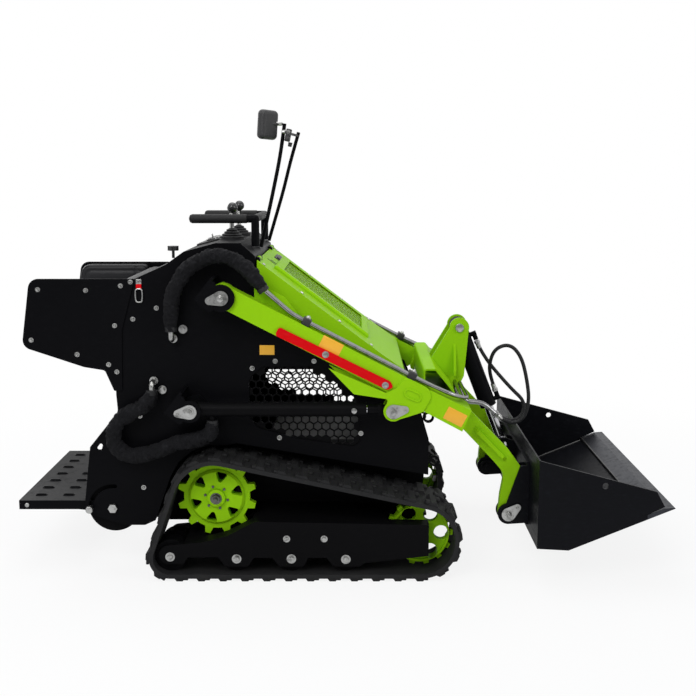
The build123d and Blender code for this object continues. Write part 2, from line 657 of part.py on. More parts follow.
def lift_barrel():
    """Near lift cylinder barrel with its rear eye, ports and gland."""
    y = -ARM_MID
    middle = Pos(LIFT_REAR_X, y, LIFT_REAR_Z) * Rot(0, 90, 0)
    start = 24.0
    body = middle * Pos(0, 0, start) * extrude(Circle(LIFT_BARREL), LIFT_BARREL_END - start)
    eye = disc(LIFT_REAR_X, LIFT_REAR_Z, EYE_R, y - EYE_HALF, y + EYE_HALF)
    bore = middle * Pos(0, 0, 80) * extrude(Circle(LIFT_BORE + RUN_FIT), LIFT_BARREL_END - 80 - 26)
    gland = middle * Pos(0, 0, 100) * extrude(Circle(LIFT_ROD + RUN_FIT), LIFT_BARREL_END)
    barrel = body + eye
    barrel += Pos(LIFT_REAR_X + LIFT_PORT, y, LIFT_REAR_Z - LIFT_BARREL - LIFT_PORT_RISE) * extrude(Circle(9), 22)
    barrel += Pos(LIFT_REAR_X + LIFT_BARREL_END - 40, y, LIFT_REAR_Z + LIFT_BARREL - 3) * extrude(Circle(9), 14)
    barrel = barrel - bore - gland
    return barrel - disc(LIFT_REAR_X, LIFT_REAR_Z, LIFT_PIN + RUN_FIT, y - 25, y + 25)


def lift_rod():
    """Near lift cylinder rod with its piston and front eye."""
    y = -ARM_MID
    middle = Pos(LIFT_REAR_X, y, LIFT_REAR_Z) * Rot(0, 90, 0)
    reach = KNEE_X - LIFT_REAR_X
    rod = middle * Pos(0, 0, 100) * extrude(Circle(LIFT_ROD), reach - 100 - 20)
    piston = middle * Pos(0, 0, 90) * extrude(Circle(LIFT_BORE), 22)
    eye = disc(KNEE_X, KNEE_Z, EYE_R, y - EYE_HALF, y + EYE_HALF)
    return rod + piston + eye - disc(KNEE_X, KNEE_Z, LIFT_PIN + RUN_FIT, y - 25, y + 25)


def tilt_frame():
    """Place of the tilt cylinder: Z runs from its upper pin to the bucket's upper pin."""
    run = Vector(BUCKET_PIN_X - TILT_X, 0, BUCKET_PIN_Z - TILT_Z)
    return Plane(origin=(TILT_X, 0, TILT_Z), x_dir=(0, 1, 0), z_dir=run), run.length


def tilt_barrel():
    """Tilt cylinder barrel with its upper eye, ports and gland."""
    place, _ = tilt_frame()
    body = place * Pos(0, 0, 26) * extrude(Circle(TILT_BARREL), TILT_BARREL_END - 26)
    eye = disc(TILT_X, TILT_Z, EYE_R + 2, -30, 30)
    bore = place * Pos(0, 0, 40) * extrude(Circle(TILT_BORE + RUN_FIT), TILT_BARREL_END - 40 - 20)
    gland = place * Pos(0, 0, 60) * extrude(Circle(TILT_ROD + RUN_FIT), TILT_BARREL_END)
    barrel = body + eye
    for along, heading in zip(TILT_PORTS, (1, -1)):
        elbow = Pos(0, TILT_BARREL - 3, along) * Rot(-90, 0, 0) * extrude(Circle(9), PORT_RISE + 12)
        stub = Pos(0, TILT_BARREL + PORT_RISE, along) * extrude(Circle(9), heading * PORT_REACH)
        barrel += place * (elbow + stub)
    barrel = barrel - bore - gland
    return barrel - disc(TILT_X, TILT_Z, TILT_PIN + RUN_FIT, -31, 31)


def tilt_rod():
    """Tilt cylinder rod with its piston and lower eye."""
    place, length = tilt_frame()
    rod = place * Pos(0, 0, 60) * extrude(Circle(TILT_ROD), length - 60 - 16)
    piston = place * Pos(0, 0, 44) * extrude(Circle(TILT_BORE), 14)
    shaft = place * Pos(0, 0, 50) * extrude(Circle(TILT_ROD), 20)
    eye = disc(BUCKET_PIN_X, BUCKET_PIN_Z, 28, -25, 25)
    whole = rod + shaft + piston + eye
    return whole - disc(BUCKET_PIN_X, BUCKET_PIN_Z, BUCKET_PIN + RUN_FIT, -26, 26)


def coupler():
    """Quick coupler: back plate, paired ears with their pins, and the centre ears."""
    gap = 5.0
    half = LEG_OUT + gap + EAR
    plate = block(COUPLER_PLATE_X, COUPLER_PLATE_X + COUPLER_PLATE, -half, half, 160, 392)
    face = outline((COUPLER_X - 8, COUPLER_Z + 37), (648, 377, 10), (COUPLER_PLATE_X, 377), (COUPLER_PLATE_X, 165),
                   (COUPLER_X, COUPLER_Z - 38))
    face += Pos(COUPLER_X, COUPLER_Z) * Circle(38)
    pieces = []
    for y in (-LEG_OUT - gap - EAR, -LEG_IN + gap):
        pieces.append(slab(face, y, y + EAR))
    pin = disc(COUPLER_X, COUPLER_Z, COUPLER_PIN, -LEG_OUT - gap - EAR - 4, -LEG_IN + gap + EAR + 22)
    pin += keeper(COUPLER_X, COUPLER_Z, 40, -LEG_OUT - gap - EAR - 6, -LEG_OUT - gap - EAR)
    collar = disc(COUPLER_X, COUPLER_Z, 28, -LEG_IN + gap + EAR, -LEG_IN + gap + EAR + 14)
    middle = outline((BUCKET_PIN_X - 20, BUCKET_PIN_Z - 18), (COUPLER_PLATE_X, 300), (COUPLER_PLATE_X, 392),
                     (BUCKET_PIN_X, BUCKET_PIN_Z + 29))
    middle += Pos(BUCKET_PIN_X, BUCKET_PIN_Z) * Circle(29)
    centre = slab(middle, -42, -30)
    centre -= disc(BUCKET_PIN_X, BUCKET_PIN_Z, BUCKET_PIN + RUN_FIT, -43, -29)
    near = [*pieces, pin, collar, centre]
    return plate.fuse(*near, *[far(piece) for piece in near])


def bucket_shell():
    """Bucket: bent back and floor sheet with two side plates."""
    slope = (EDGE_TIP_Z - HEEL_Z) / (EDGE_TIP_X - HEEL_X)
    floor_end = 1055.0
    floor_z = HEEL_Z + slope * (floor_end - HEEL_X)
    line = [(BUCKET_BACK_X, 449), (BUCKET_BACK_X, 137), (HEEL_X, HEEL_Z), (floor_end, floor_z)]
    shell = slab(strip(line, BUCKET_SHEET), -BUCKET_HALF, BUCKET_HALF)
    edge_top = 17.0
    side = outline((BUCKET_BACK_X, 449, 6), (1084, 340, 8), (1113, 287), (floor_end, floor_z + edge_top),
                   (floor_end, floor_z), (HEEL_X, HEEL_Z), (BUCKET_BACK_X, 137))
    near = slab(side, -BUCKET_HALF, -BUCKET_HALF + BUCKET_SIDE)
    near -= disc(908, 361, BUCKET_HOLE, -BUCKET_HALF - 1, -BUCKET_HALF + BUCKET_SIDE + 1)
    return shell.fuse(near, far(near))


def cutting_edge():
    """Bevelled wear plate along the bucket's lip."""
    slope = (EDGE_TIP_Z - HEEL_Z) / (EDGE_TIP_X - HEEL_X)
    start = 1055.0 + SEAT
    low = HEEL_Z + slope * (start - HEEL_X)
    thick = 16.0
    face = outline((start, low), (EDGE_TIP_X, EDGE_TIP_Z), (EDGE_TIP_X - 3, EDGE_TIP_Z + 3),
                   (1112, low + slope * (1112 - start) + thick), (start, low + thick))
    return slab(face, -BUCKET_HALF, BUCKET_HALF)


def step_deck():
    """Fold-up rider step: a tray with oval holes, side arms and pivot bosses."""
    lip = 4.0
    deck = block(STEP_REAR_X, STEP_FRONT_X, -STEP_HALF, STEP_HALF, STEP_TOP_Z - STEP_DEPTH, STEP_TOP_Z)
    deck -= block(STEP_REAR_X + lip, STEP_FRONT_X - lip, -STEP_HALF + STEP_ARM, STEP_HALF - STEP_ARM,
                  STEP_TOP_Z - STEP_DEPTH - 1, STEP_TOP_Z - lip)
    hole = extrude(SlotOverall(34, 13), STEP_DEPTH, both=True)
    holes = []
    for row in range(2):
        for column in range(7):
            x = STEP_REAR_X + 62 + row * 100
            y = (column - 3) * 92
            holes.append(Pos(x, y, STEP_TOP_Z) * hole)
    deck = deck.cut(*holes)
    arm_face = outline((STEP_FRONT_X - 20, STEP_TOP_Z - STEP_DEPTH), (STEP_PIVOT_X, STEP_PIVOT_Z - 22),
                       (STEP_PIVOT_X, STEP_PIVOT_Z + 22), (STEP_FRONT_X - 20, STEP_TOP_Z))
    arm_face += Pos(STEP_PIVOT_X, STEP_PIVOT_Z) * Circle(22)
    arm = slab(arm_face, -STEP_HALF, -STEP_HALF + STEP_ARM)
    arm -= disc(STEP_PIVOT_X, STEP_PIVOT_Z, STEP_PIN + RUN_FIT, -STEP_HALF - 1, -STEP_HALF + STEP_ARM + 1)
    return deck.fuse(arm, far(arm))


def step_lock():
    """Lock pin and handle of the step, on the near side."""
    x = STEP_PIVOT_X - LOCK_RADIUS
    pin = disc(x, STEP_PIVOT_Z, LOCK_PIN, -BODY_HALF - 16, -STEP_HALF)
    grip = disc(x, STEP_PIVOT_Z, 13, -BODY_HALF - 30, -BODY_HALF - 12)
    return pin + fillet(grip.edges(), 3)


def hood():
    """Sloped engine hood with side skirts and a turned-down front."""
    slope = (HOOD_TOP_Z - HOOD_MID_Z) / (HOOD_MID_X - HOOD_TOP_X)
    low = HOOD_TOP_Z - HOOD_SKIRT
    bend = 150.0
    outer = outline((HOOD_TOP_X, HOOD_TOP_Z), (HOOD_MID_X, HOOD_MID_Z, 200), (228, 730, 14), (250, 650),
                    (bend, low - slope * (bend - HOOD_TOP_X)), (HOOD_TOP_X, low))
    wall = HOOD_WALL
    inner = outline((HOOD_TOP_X - 10, HOOD_TOP_Z - wall * 1.3 + 8), (HOOD_MID_X - 2, HOOD_MID_Z - wall * 1.3, 200),
                    (224, 727, 11), (246, 640), (240, 560), (HOOD_TOP_X - 10, 860))
    shell = slab(outer, -BODY_HALF, BODY_HALF) - slab(inner, -BODY_HALF + wall, BODY_HALF - wall)
    shell -= hood_window(0)
    inner_y, outer_y = HINGE_SPAN
    knuckle = disc(HOOD_TOP_X, HOOD_TOP_Z, HINGE_R, -outer_y, -inner_y)
    bore = disc(HOOD_TOP_X, HOOD_TOP_Z, HINGE_PIN + RUN_FIT, -outer_y - 1, -inner_y + 1)
    for y_from, y_to in ((-outer_y - HINGE_LEAF - 1, -outer_y - 0.5), (-inner_y + 0.5, -inner_y + HINGE_LEAF + 1)):
        room = disc(HOOD_TOP_X, HOOD_TOP_Z, HINGE_R + 2, y_from, y_to)
        shell -= room + far(room)
    return shell + knuckle + far(knuckle) - bore - far(bore)


def hood_window(lap):
    """Rectangular opening in the hood's slope, through the sheet, grown by a lap."""
    slope = math.atan2(HOOD_TOP_Z - HOOD_MID_Z, HOOD_MID_X - HOOD_TOP_X)
    run = math.hypot(HOOD_TOP_Z - HOOD_MID_Z, HOOD_MID_X - HOOD_TOP_X)
    place = Pos((HOOD_TOP_X + HOOD_MID_X) / 2, 0, (HOOD_TOP_Z + HOOD_MID_Z) / 2) * Rot(0, math.degrees(slope), 0)
    return place * Box(run - 150 + 2 * lap, 400 + 2 * lap, 40)


def hood_grille():
    """Raised frame over the hood's opening, with a thin sheet of mesh inside it."""
    slope = math.atan2(HOOD_TOP_Z - HOOD_MID_Z, HOOD_MID_X - HOOD_TOP_X)
    run = math.hypot(HOOD_TOP_Z - HOOD_MID_Z, HOOD_MID_X - HOOD_TOP_X)
    place = Pos((HOOD_TOP_X + HOOD_MID_X) / 2, 0, (HOOD_TOP_Z + HOOD_MID_Z) / 2) * Rot(0, math.degrees(slope), 0)
    rise = 12.0
    rim = 34.0
    wall = 12.0
    sheet = 3.0
    mesh_at = 5.0
    long, wide = run - 120, 430.0
    cover = Pos(0, 0, rise / 2 + SEAT) * Box(long, wide, rise)
    cover = chamfer(cover.faces().sort_by(Axis.Z)[-1].edges(), 6)
    cover -= Pos(0, 0, rise / 2 - sheet + SEAT) * Box(long - 2 * wall, wide - 2 * wall, rise)
    cover -= Pos(0, 0, rise) * Box(long - 2 * rim, wide - 2 * rim, 2 * rise)
    mesh = Pos(0, 0, mesh_at) * Box(long - 2 * wall, wide - 2 * wall, 1.6)
    return place * (cover + mesh)


def grab_bars():
    """Operator's handle: two fore and aft bars, a front cross bar and two legs."""
    half = 200.0
    z = 1250.0
    front = -302.0
    foot = 1152.0
    radius = 14.5
    pieces = []
    for y in (-half, half):
        bar, _ = tube_along([(-532, y, z), (front, y, z)], radius)
        leg, _ = tube_along([(front, y, z), (front, y, foot)], radius)
        pieces += [bar, leg, Pos(front, y, z) * Sphere(radius)]
    cross, _ = tube_along([(front, -half, z), (front, half, z)], radius)
    return cross.fuse(*pieces)


def control_levers():
    """Two drive levers with round knobs, and the star knob on the console's slope."""
    pieces = []
    for y in (-120, 120):
        stem, _ = tube_along([(-395, y, CONSOLE_TOP + 41), (-392, y, 1275)], 7)
        pieces.append(stem + Pos(-392, y, 1287) * Sphere(19))
    return [*pieces, clamp_knob()]


def lever_boots():
    """Rubber boots at the feet of the levers."""
    pieces = []
    for y in (-120, 120):
        boot = None
        for index, radius in enumerate((46, 40, 34, 28)):
            ring = Pos(-395, y, CONSOLE_TOP + SEAT + index * 10) * extrude(Circle(radius), 10, taper=18)
            boot = ring if boot is None else boot + ring
        pieces.append(boot)
    return pieces


def mirror_posts():
    """Two slim posts that lean forward, joined by an arm below the mirror."""
    near, _ = tube_along([(-296, -45, 1138.5), (-256, -45, 1307), (-221, -45, 1469), (-203, -45, 1590)], 7)
    foot = BODY_HALF - 24
    other, _ = tube_along([(-296, foot, 1138.5), (-233, foot - 13, 1343), (-205, foot - 31, 1450),
                           (-168, foot - 57, 1570)], 7)
    arm, _ = tube_along([(-206, -45, 1560), (-172, foot - 57, 1557)], 5)
    return near.fuse(other, arm)


MIRROR_PLACE = Pos(-264, -64, 1585) * Rot(0, 4, -40)


def mirror_head():
    """Mirror housing, open towards the operator, and its ball arm."""
    case = fillet(Box(40, 84, 106).edges(), 17)
    face = Pos(-19, 0, 0) * Box(14, 64, 86)
    arm, _ = tube_along([(-250, -70, 1588), (-210.6, -48.3, 1588)], 5)
    return MIRROR_PLACE * (case - face) + arm


def mirror_glass():
    """Flat mirror glass in the housing's rear face."""
    return MIRROR_PLACE * Pos(-13 - SEAT, 0, 0) * Box(2, 62, 84)


def clamp_knob():
    """Star knob on a stem, on the console's slope."""
    y = 25 - BODY_HALF
    knob = Pos(-576, y, 1146) * extrude(Circle(19), 16)
    for lobe in range(5):
        angle = math.radians(72 * lobe)
        knob -= Pos(-576 + 23 * math.cos(angle), y + 23 * math.sin(angle), 1140) * extrude(Circle(7), 30)
    return knob + Pos(-576, y, 1120) * extrude(Circle(5), 34)


def tie_down_rings():
    """Near tie-down rings on the front edge of the side plate."""
    rings = []
    for x, z, lean in ((FRONT_X, 399, 0.0), (295.6, 552, 16.3)):  # point on the edge, its normal in degrees
        reach = TIE_RING + SEAT
        x += reach * math.cos(math.radians(lean))
        z += reach * math.sin(math.radians(lean))
        ring = disc(x, z, TIE_RING, -BODY_HALF, -BODY_HALF + 14)
        rings.append(ring - disc(x, z, TIE_BORE, -BODY_HALF - 1, -BODY_HALF + 15))
    return rings


def engine_block():
    """Engine and pump as one plain block on the tub's floor."""
    half = TUB_HALF - 42
    return block(-260, 140, -half, half, TUB_FLOOR + SHEET + 1 + SEAT, 436)


def drive_motors():
    """Near hydraulic drive motor between the tub and the sprocket."""
    back = TRACK_MID - SPROCKET_WIDTH / 2 - SEAT
    motor = disc(SPROCKET_X, SPROCKET_Z, 58, -back, -TUB_HALF - SEAT)
    return motor + disc(SPROCKET_X, SPROCKET_Z, 84, -TUB_HALF - 14, -TUB_HALF - SEAT)


def hose_fittings():
    """Near zinc fittings where the hoses leave the side plate: two elbows and two plugs."""
    pieces = []
    for x, z in ((-580, 841), (-545, 874), (-652, 691), (-623, 659)):
        pieces.append(disc(x, z, 15, -BODY_HALF - 6, -BODY_HALF - SEAT))
    for x, z in ((-545, 874), (-623, 659)):
        pieces.append(disc(x, z, 9, -BODY_HALF - 22, -BODY_HALF - SEAT))
    for corner, end in (((-580, SLEEVE_Y, 841), UPPER_ROUTE[0]), ((-652, SLEEVE_Y, 691), LOWER_ROUTE[0])):
        drop = Vector(*end) - Vector(*corner)
        stop = Vector(*corner) + drop * (1 - SEAT / drop.length)
        elbow, _ = tube_along([(corner[0], -BODY_HALF - SEAT, corner[2]), corner, tuple(stop)], 9)
        pieces.append(elbow)
    return [solid for solid in pieces[0].fuse(*pieces[1:]).solids()]


# Hose sleeve routes on the near side, from the body to the boom and to the lift cylinder
SLEEVE_R = 28.0
SLEEVE_Y = -402.0
UPPER_ROUTE = [(-580, SLEEVE_Y, 874), (-580, SLEEVE_Y, 914), (-576, SLEEVE_Y, 980), (-554, SLEEVE_Y, 1042),
               (-516, SLEEVE_Y, 1090), (-468, -404, 1122), (-414, -408, 1136), (-360, -418, 1124),
               (-316, -434, 1096), (-282, -448, 1060), (-252, -450, 1018)]
LOWER_ROUTE = [(-652, SLEEVE_Y, 664), (-652, SLEEVE_Y, 634), (-694, SLEEVE_Y, 600), (-752, SLEEVE_Y, 576),
               (-792, SLEEVE_Y, 528), (-792, SLEEVE_Y, 470), (-752, SLEEVE_Y, 432), (-692, SLEEVE_Y, 432),
               (-634, -406, 452), (-576, -414, 478), (-516, -426, 492), (-462, -436, 506),
               (-438, -441, 534), (-438, -441, 566)]
PIPE_R = 7.0
PIPE_END = (588.0, 512.0)
PIPE_TABLE = [  # y on the arm, x on the cross run, y of the last bend, y of the end
    (7.0 - ARM_MID, 430.0, -75.0, -72.0),
    (-11.0 - ARM_MID, 447.0, -98.0, -95.0),
]
HOSE_R = 7.0


def sleeve(route, name):
    """Near hose sleeve along its route."""
    body, radii = tube_along(route, SLEEVE_R)
    length = sum(math.dist(here, after) for here, after in zip(route, route[1:]))
    print(name, "length", round(length), "smallest bend radius", round(min(radii)))
    return body


def boom_pipes():
    """Rigid pipes along both arms with their clamps; the near pair ends by the tilt cylinder."""
    pieces = []
    lean = math.degrees(math.atan(ARM_SLOPE))
    for y, x, y_bend, y_end in PIPE_TABLE:
        route = [(-248, y, 1016.6), (-163, y, 942), (-142, y, 929), (274, y, 711), (x, y, 636)]
        drop = [(x, y_bend, 640), (x + 17, y_bend, 558), (540, y_end, 554), (PIPE_END[0], y_end, PIPE_END[1])]
        near, _ = tube_along([*route, *drop], PIPE_R)
        other, _ = tube_along([*route, (x, -260, 640), (412.3, -260, 640)], PIPE_R)
        pieces += [near, far(other)]
    for x in (-110, 250):
        z = PIVOT_Z + 49 - ARM_SLOPE * (x - PIVOT_X) + 11 + SEAT
        clamp = slab(Pos(x, z) * Rot(0, 0, -lean) * Rectangle(22, 19), -ARM_MID - 23, -ARM_MID + 19)
        pieces += [clamp, far(clamp)]
    return pieces[0].fuse(*pieces[1:]).solids()


def tilt_hoses():
    """Two limp hoses from the pipes' ends to the elbows on the tilt cylinder."""
    place, _ = tilt_frame()
    side = TILT_BARREL + PORT_RISE
    high, low = TILT_PORTS
    reach = PORT_REACH + SEAT
    first = [tuple(place.from_local_coords(Vector(0, side, high + reach))),
             tuple(place.from_local_coords(Vector(0, side, high + reach + 60))),
             (648, -40, 602), (708, -58, 548), (690, -68, 486), (628, -72, 476), (588.3, -72, 511.7)]
    second = [tuple(place.from_local_coords(Vector(0, side, low - reach))),
              tuple(place.from_local_coords(Vector(0, side, low - reach - 50))),
              (566, -40, 690), (584, -60, 756), (640, -70, 776), (684, -76, 728), (706, -84, 640),
              (716, -90, 556), (694, -94, 484), (630, -95, 472), (588.3, -95, 511.7)]
    hoses = []
    for route in (first, second):
        hose, radii = tube_along(route, HOSE_R)
        length = sum(math.dist(here, after) for here, after in zip(route, route[1:]))
        print("tilt hose length", round(length), "smallest bend radius", round(min(radii)))
        hoses.append(hose)
    return hoses


def pair(shape):
    """A near piece and its mirror image."""
    shapes = shape if isinstance(shape, list) else [shape]
    return [*shapes, *[far(piece) for piece in shapes]]


write("side_plates", *pair(side_plate()))
write("chassis_tub", chassis_tub())
write("front_panel", front_panel())
write("console", console())
write("wing_panels", *pair(wing_panel()))
write("hip_pads", *hip_pads())
write("vent_grilles", *pair(vent_grille()))
write("engine_block", engine_block())
write("grab_bars", grab_bars())
write("control_levers", *control_levers())
write("lever_boots", *lever_boots())
write("mirror_posts", mirror_posts())
write("mirror_head", mirror_head())
write("mirror_glass", mirror_glass())
write("pin_brackets", *pair(pin_brackets()))
write("bracket_pins", *pair(bracket_pins()))
write("track_frames", *pair(track_frame()))
write("drive_sprockets", *pair(drive_sprocket()))
write("drive_motors", *pair(drive_motors()))
write("front_idlers", *pair(front_idler()))
write("track_rollers", *pair(track_rollers()))
write("rubber_tracks", *pair(rubber_track()))
write("tie_down_rings", *pair(tie_down_rings()))
write("hose_fittings", *pair(hose_fittings()))
write("upper_hose_sleeves", *pair(sleeve(UPPER_ROUTE, "upper hose sleeve")))
write("lower_hose_sleeves", *pair(sleeve(LOWER_ROUTE, "lower hose sleeve")))
write("step_deck", step_deck())
write("step_lock_handle", step_lock())
write("hood", hood())
write("hood_grille", hood_grille())
write("boom_arms", *pair(boom_arm()))
write("knee_pins", *pair(knee_pins()))
write("boom_cross_tube", cross_tube())
write("boom_legs", *pair(boom_leg()))
write("tilt_bracket", tilt_bracket())
write("boom_pipes", *boom_pipes())
write("lock_bars", *pair(lock_bar()))
write("lift_barrels", *pair(lift_barrel()))
write("lift_rods", *pair(lift_rod()))
write("tilt_barrel", tilt_barrel())
write("tilt_rod", tilt_rod())
write("tilt_hoses", *tilt_hoses())
write("coupler", coupler())
write("bucket_shell", bucket_shell())
write("cutting_edge", cutting_edge())
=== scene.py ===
"""Dressed studio view of the mini skid steer loader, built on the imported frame.

Every piece is in metres, in the frame's own axes: +X forward, +Y to the far side, +Z up.
"""
from __future__ import annotations

import logging
import math
from dataclasses import dataclass
from enum import Enum
from functools import cached_property
from typing import Iterable, Mapping, Sequence

import bmesh
import bpy
from mathutils import Matrix, Vector, noise

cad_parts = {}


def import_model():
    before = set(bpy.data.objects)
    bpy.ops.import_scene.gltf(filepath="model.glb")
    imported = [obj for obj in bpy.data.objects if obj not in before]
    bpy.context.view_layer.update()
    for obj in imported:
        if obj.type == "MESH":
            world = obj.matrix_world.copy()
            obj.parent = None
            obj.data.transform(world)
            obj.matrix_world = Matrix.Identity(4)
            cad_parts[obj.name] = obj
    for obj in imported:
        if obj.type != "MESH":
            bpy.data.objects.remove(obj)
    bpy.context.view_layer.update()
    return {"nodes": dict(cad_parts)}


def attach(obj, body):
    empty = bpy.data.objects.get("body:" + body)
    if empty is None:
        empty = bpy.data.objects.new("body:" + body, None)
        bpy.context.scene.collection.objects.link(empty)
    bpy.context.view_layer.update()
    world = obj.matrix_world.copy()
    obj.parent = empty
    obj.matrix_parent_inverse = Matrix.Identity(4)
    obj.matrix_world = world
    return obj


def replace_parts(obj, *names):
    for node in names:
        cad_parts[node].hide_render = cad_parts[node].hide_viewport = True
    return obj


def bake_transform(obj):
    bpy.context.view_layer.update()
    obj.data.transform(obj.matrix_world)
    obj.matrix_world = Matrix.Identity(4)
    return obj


LOG = logging.getLogger("loader")
MM = 0.001
IMAGE_WIDTH = 696
Colour = tuple[float, float, float]
Point = tuple[float, float, float]
Pair = tuple[float, float]
HOOD_CENTRE: Point = (-0.0675, 0.0, 0.949)
HOOD_LEAN = 37.15
KEEPER_REACH = 0.040
KEEPER_SCREW = 0.0052
LABEL_LIFT = 0.0004
LABEL_THICK = 0.0010
LABEL_EDGE = 0.0003
SHARP_ANGLE = math.radians(32)


class Body(Enum):
    """Rigid bodies of the frame that new pieces ride on."""

    CHASSIS = "chassis"
    STEP = "step"
    HOOD = "hood"
    BOOM = "boom"
    LIFT_BARREL = "lift_barrel"
    LIFT_ROD = "lift_rod"
    TILT_BARREL = "tilt_barrel"
    BUCKET = "bucket"


class Side(Enum):
    """The two sides of the machine, as the sign of Y."""

    NEAR = -1
    FAR = 1

    @property
    def tag(self) -> str:
        """The side's word in the names of pieces."""
        return self.name.lower()

    @property
    def out(self) -> Matrix:
        """Rotation from +Z to the outside of this side."""
        return Matrix.Rotation(math.radians(-90 * self.value), 3, "X")

    def at(self, x: float, y: float, z: float) -> Point:
        """Point on this side, where y is its distance from the centre plane."""
        return (x, self.value * y, z)


# Shader tools


class Sock:
    """A shader socket that can be used in arithmetic."""

    def __init__(self, shader: "Shader", socket: bpy.types.NodeSocket) -> None:
        """Wraps one output socket of a shader."""
        self.shader = shader
        self.socket = socket

    def math(self, operation: str, *others: object, first: bool = True) -> "Sock":
        """Adds one Math node.

        Args:
            operation: the Math node's operation.
            others: the other operands, sockets or numbers.
            first: whether this socket is the first operand.

        Returns:
            The node's value.
        """
        values = (self, *others) if first else (*others, self)
        return self.shader.node("ShaderNodeMath", {"operation": operation}, dict(enumerate(values)))

    def __add__(self, other: object) -> "Sock":
        """Sum."""
        return self.math("ADD", other)

    def __sub__(self, other: object) -> "Sock":
        """Difference."""
        return self.math("SUBTRACT", other)

    def __rsub__(self, other: object) -> "Sock":
        """Difference, reflected."""
        return self.math("SUBTRACT", other, first=False)

    def __mul__(self, other: object) -> "Sock":
        """Product."""
        return self.math("MULTIPLY", other)

    def __truediv__(self, other: object) -> "Sock":
        """Quotient."""
        return self.math("DIVIDE", other)

    def fract(self) -> "Sock":
        """Part after the decimal point."""
        return self.math("FRACT")

    def smooth(self, low: float, high: float) -> "Sock":
        """Smooth step between two values.

        Args:
            low: value that gives 0.
            high: value that gives 1.

        Returns:
            The step.
        """
        settings = {"interpolation_type": "SMOOTHSTEP"}
        return self.shader.node("ShaderNodeMapRange", settings, {0: self, 1: low, 2: high})


class Shader:
    """One material and its node tree."""

    def __init__(self, name: str) -> None:
        """Makes a material with a Principled shader."""
        self.material = bpy.data.materials.new(name)
        self.material.use_nodes = True
        self.tree = self.material.node_tree
        self.surface = self.tree.nodes["Principled BSDF"]

    def feed(self, socket: bpy.types.NodeSocket, value: object) -> None:
        """Links a socket or sets its value."""
        if isinstance(value, Sock):
            self.tree.links.new(value.socket, socket)
        else:
            socket.default_value = value

    def node(
        self,
        kind: str,
        settings: Mapping[str, object] | None = None,
        inputs: Mapping[int | str, object] | None = None,
        output: int | str = 0,
    ) -> Sock:
        """Makes any node.

        Args:
            kind: the node's type.
            settings: its properties, set first.
            inputs: the values or links of its sockets.
            output: the output socket that is returned.

        Returns:
            The output socket.
        """
        made = self.tree.nodes.new(kind)
        for key, value in (settings or {}).items():
            setattr(made, key, value)
        for key, value in (inputs or {}).items():
            self.feed(made.inputs[key], value)
        return Sock(self, made.outputs[output])

    def place(self, scale: Point = (1, 1, 1)) -> Sock:
        """Object coordinates, scaled."""
        at = self.node("ShaderNodeTexCoord", output="Object")
        if scale == (1, 1, 1):
            return at
        return self.node("ShaderNodeMapping", None, {"Vector": at, "Scale": scale})

    def noise(self, at: Sock, scale: float, detail: float = 2.0, rough: float = 0.5) -> Sock:
        """Noise texture's value."""
        inputs = {"Vector": at, "Scale": scale, "Detail": detail, "Roughness": rough}
        return self.node("ShaderNodeTexNoise", None, inputs, "Fac")

    def cells(self, at: Sock, scale: float, feature: str = "F1") -> Sock:
        """Voronoi texture's distance."""
        inputs = {"Vector": at, "Scale": scale}
        return self.node("ShaderNodeTexVoronoi", {"feature": feature}, inputs, "Distance")

    def split(self, vector: Sock) -> tuple[Sock, Sock, Sock]:
        """The three parts of a vector."""
        made = self.node("ShaderNodeSeparateXYZ", None, {0: vector}).socket.node
        return tuple(Sock(self, made.outputs[index]) for index in range(3))

    def mix(self, first: object, second: object, share: object) -> Sock:
        """Mixes two colours."""
        first, second = (value if isinstance(value, Sock) else (*value, 1.0) for value in (first, second))
        return self.node("ShaderNodeMix", {"data_type": "RGBA"}, {0: share, 6: first, 7: second}, 2)

    def bump(self, height: Sock, distance: float, strength: float = 1.0) -> Sock:
        """Bump normal from a height."""
        inputs = {"Strength": strength, "Distance": distance, "Height": height}
        return self.node("ShaderNodeBump", None, inputs, "Normal")

    def finish(self, **values: object) -> bpy.types.Material:
        """Sets the Principled shader's sockets.

        Args:
            values: socket names with underscores for spaces, and their values or links.

        Returns:
            The material.
        """
        for key, value in values.items():
            name = key.replace("_", " ")
            if isinstance(value, tuple) and len(value) == 3:
                value = (*value, 1.0)
            self.feed(self.surface.inputs[name], value)
        return self.material


# Finishes


@dataclass(frozen=True)
class Paint:
    """Sprayed enamel or powder coat, with orange peel, handling marks and fine dust."""

    name: str
    colour: Colour
    roughness: float = 0.3
    coat: float = 0.3
    gloss: float = 0.5
    peel: float = 0.00012
    dust: float = 0.06
    dust_colour: Colour = (0.16, 0.15, 0.13)

    def build(self) -> bpy.types.Material:
        """Makes the material."""
        return self.dress().material

    def dress(self) -> Shader:
        """Makes the material's shader, ready for more."""
        shader = Shader(self.name)
        at = shader.place()
        broad = shader.noise(at, 2.6, 3.0)
        marks = shader.noise(shader.place((1.0, 1.0, 3.4)), 30.0, 6.0, 0.68)
        film = marks.smooth(0.48, 0.82) * self.dust
        peel = shader.noise(at, 620.0, 1.0)
        deep = tuple(channel * 0.86 for channel in self.colour)
        pale = tuple(min(1.0, channel * 1.1) for channel in self.colour)
        base = shader.mix(shader.mix(deep, pale, broad), self.dust_colour, film)
        rough = broad * 0.14 + (self.roughness - 0.07) + film * 1.6
        shader.finish(
            Base_Color=base,
            Roughness=rough,
            Coat_Weight=self.coat,
            Coat_Roughness=0.12,
            Specular_IOR_Level=self.gloss,
            Normal=shader.bump(peel, self.peel),
        )
        return shader


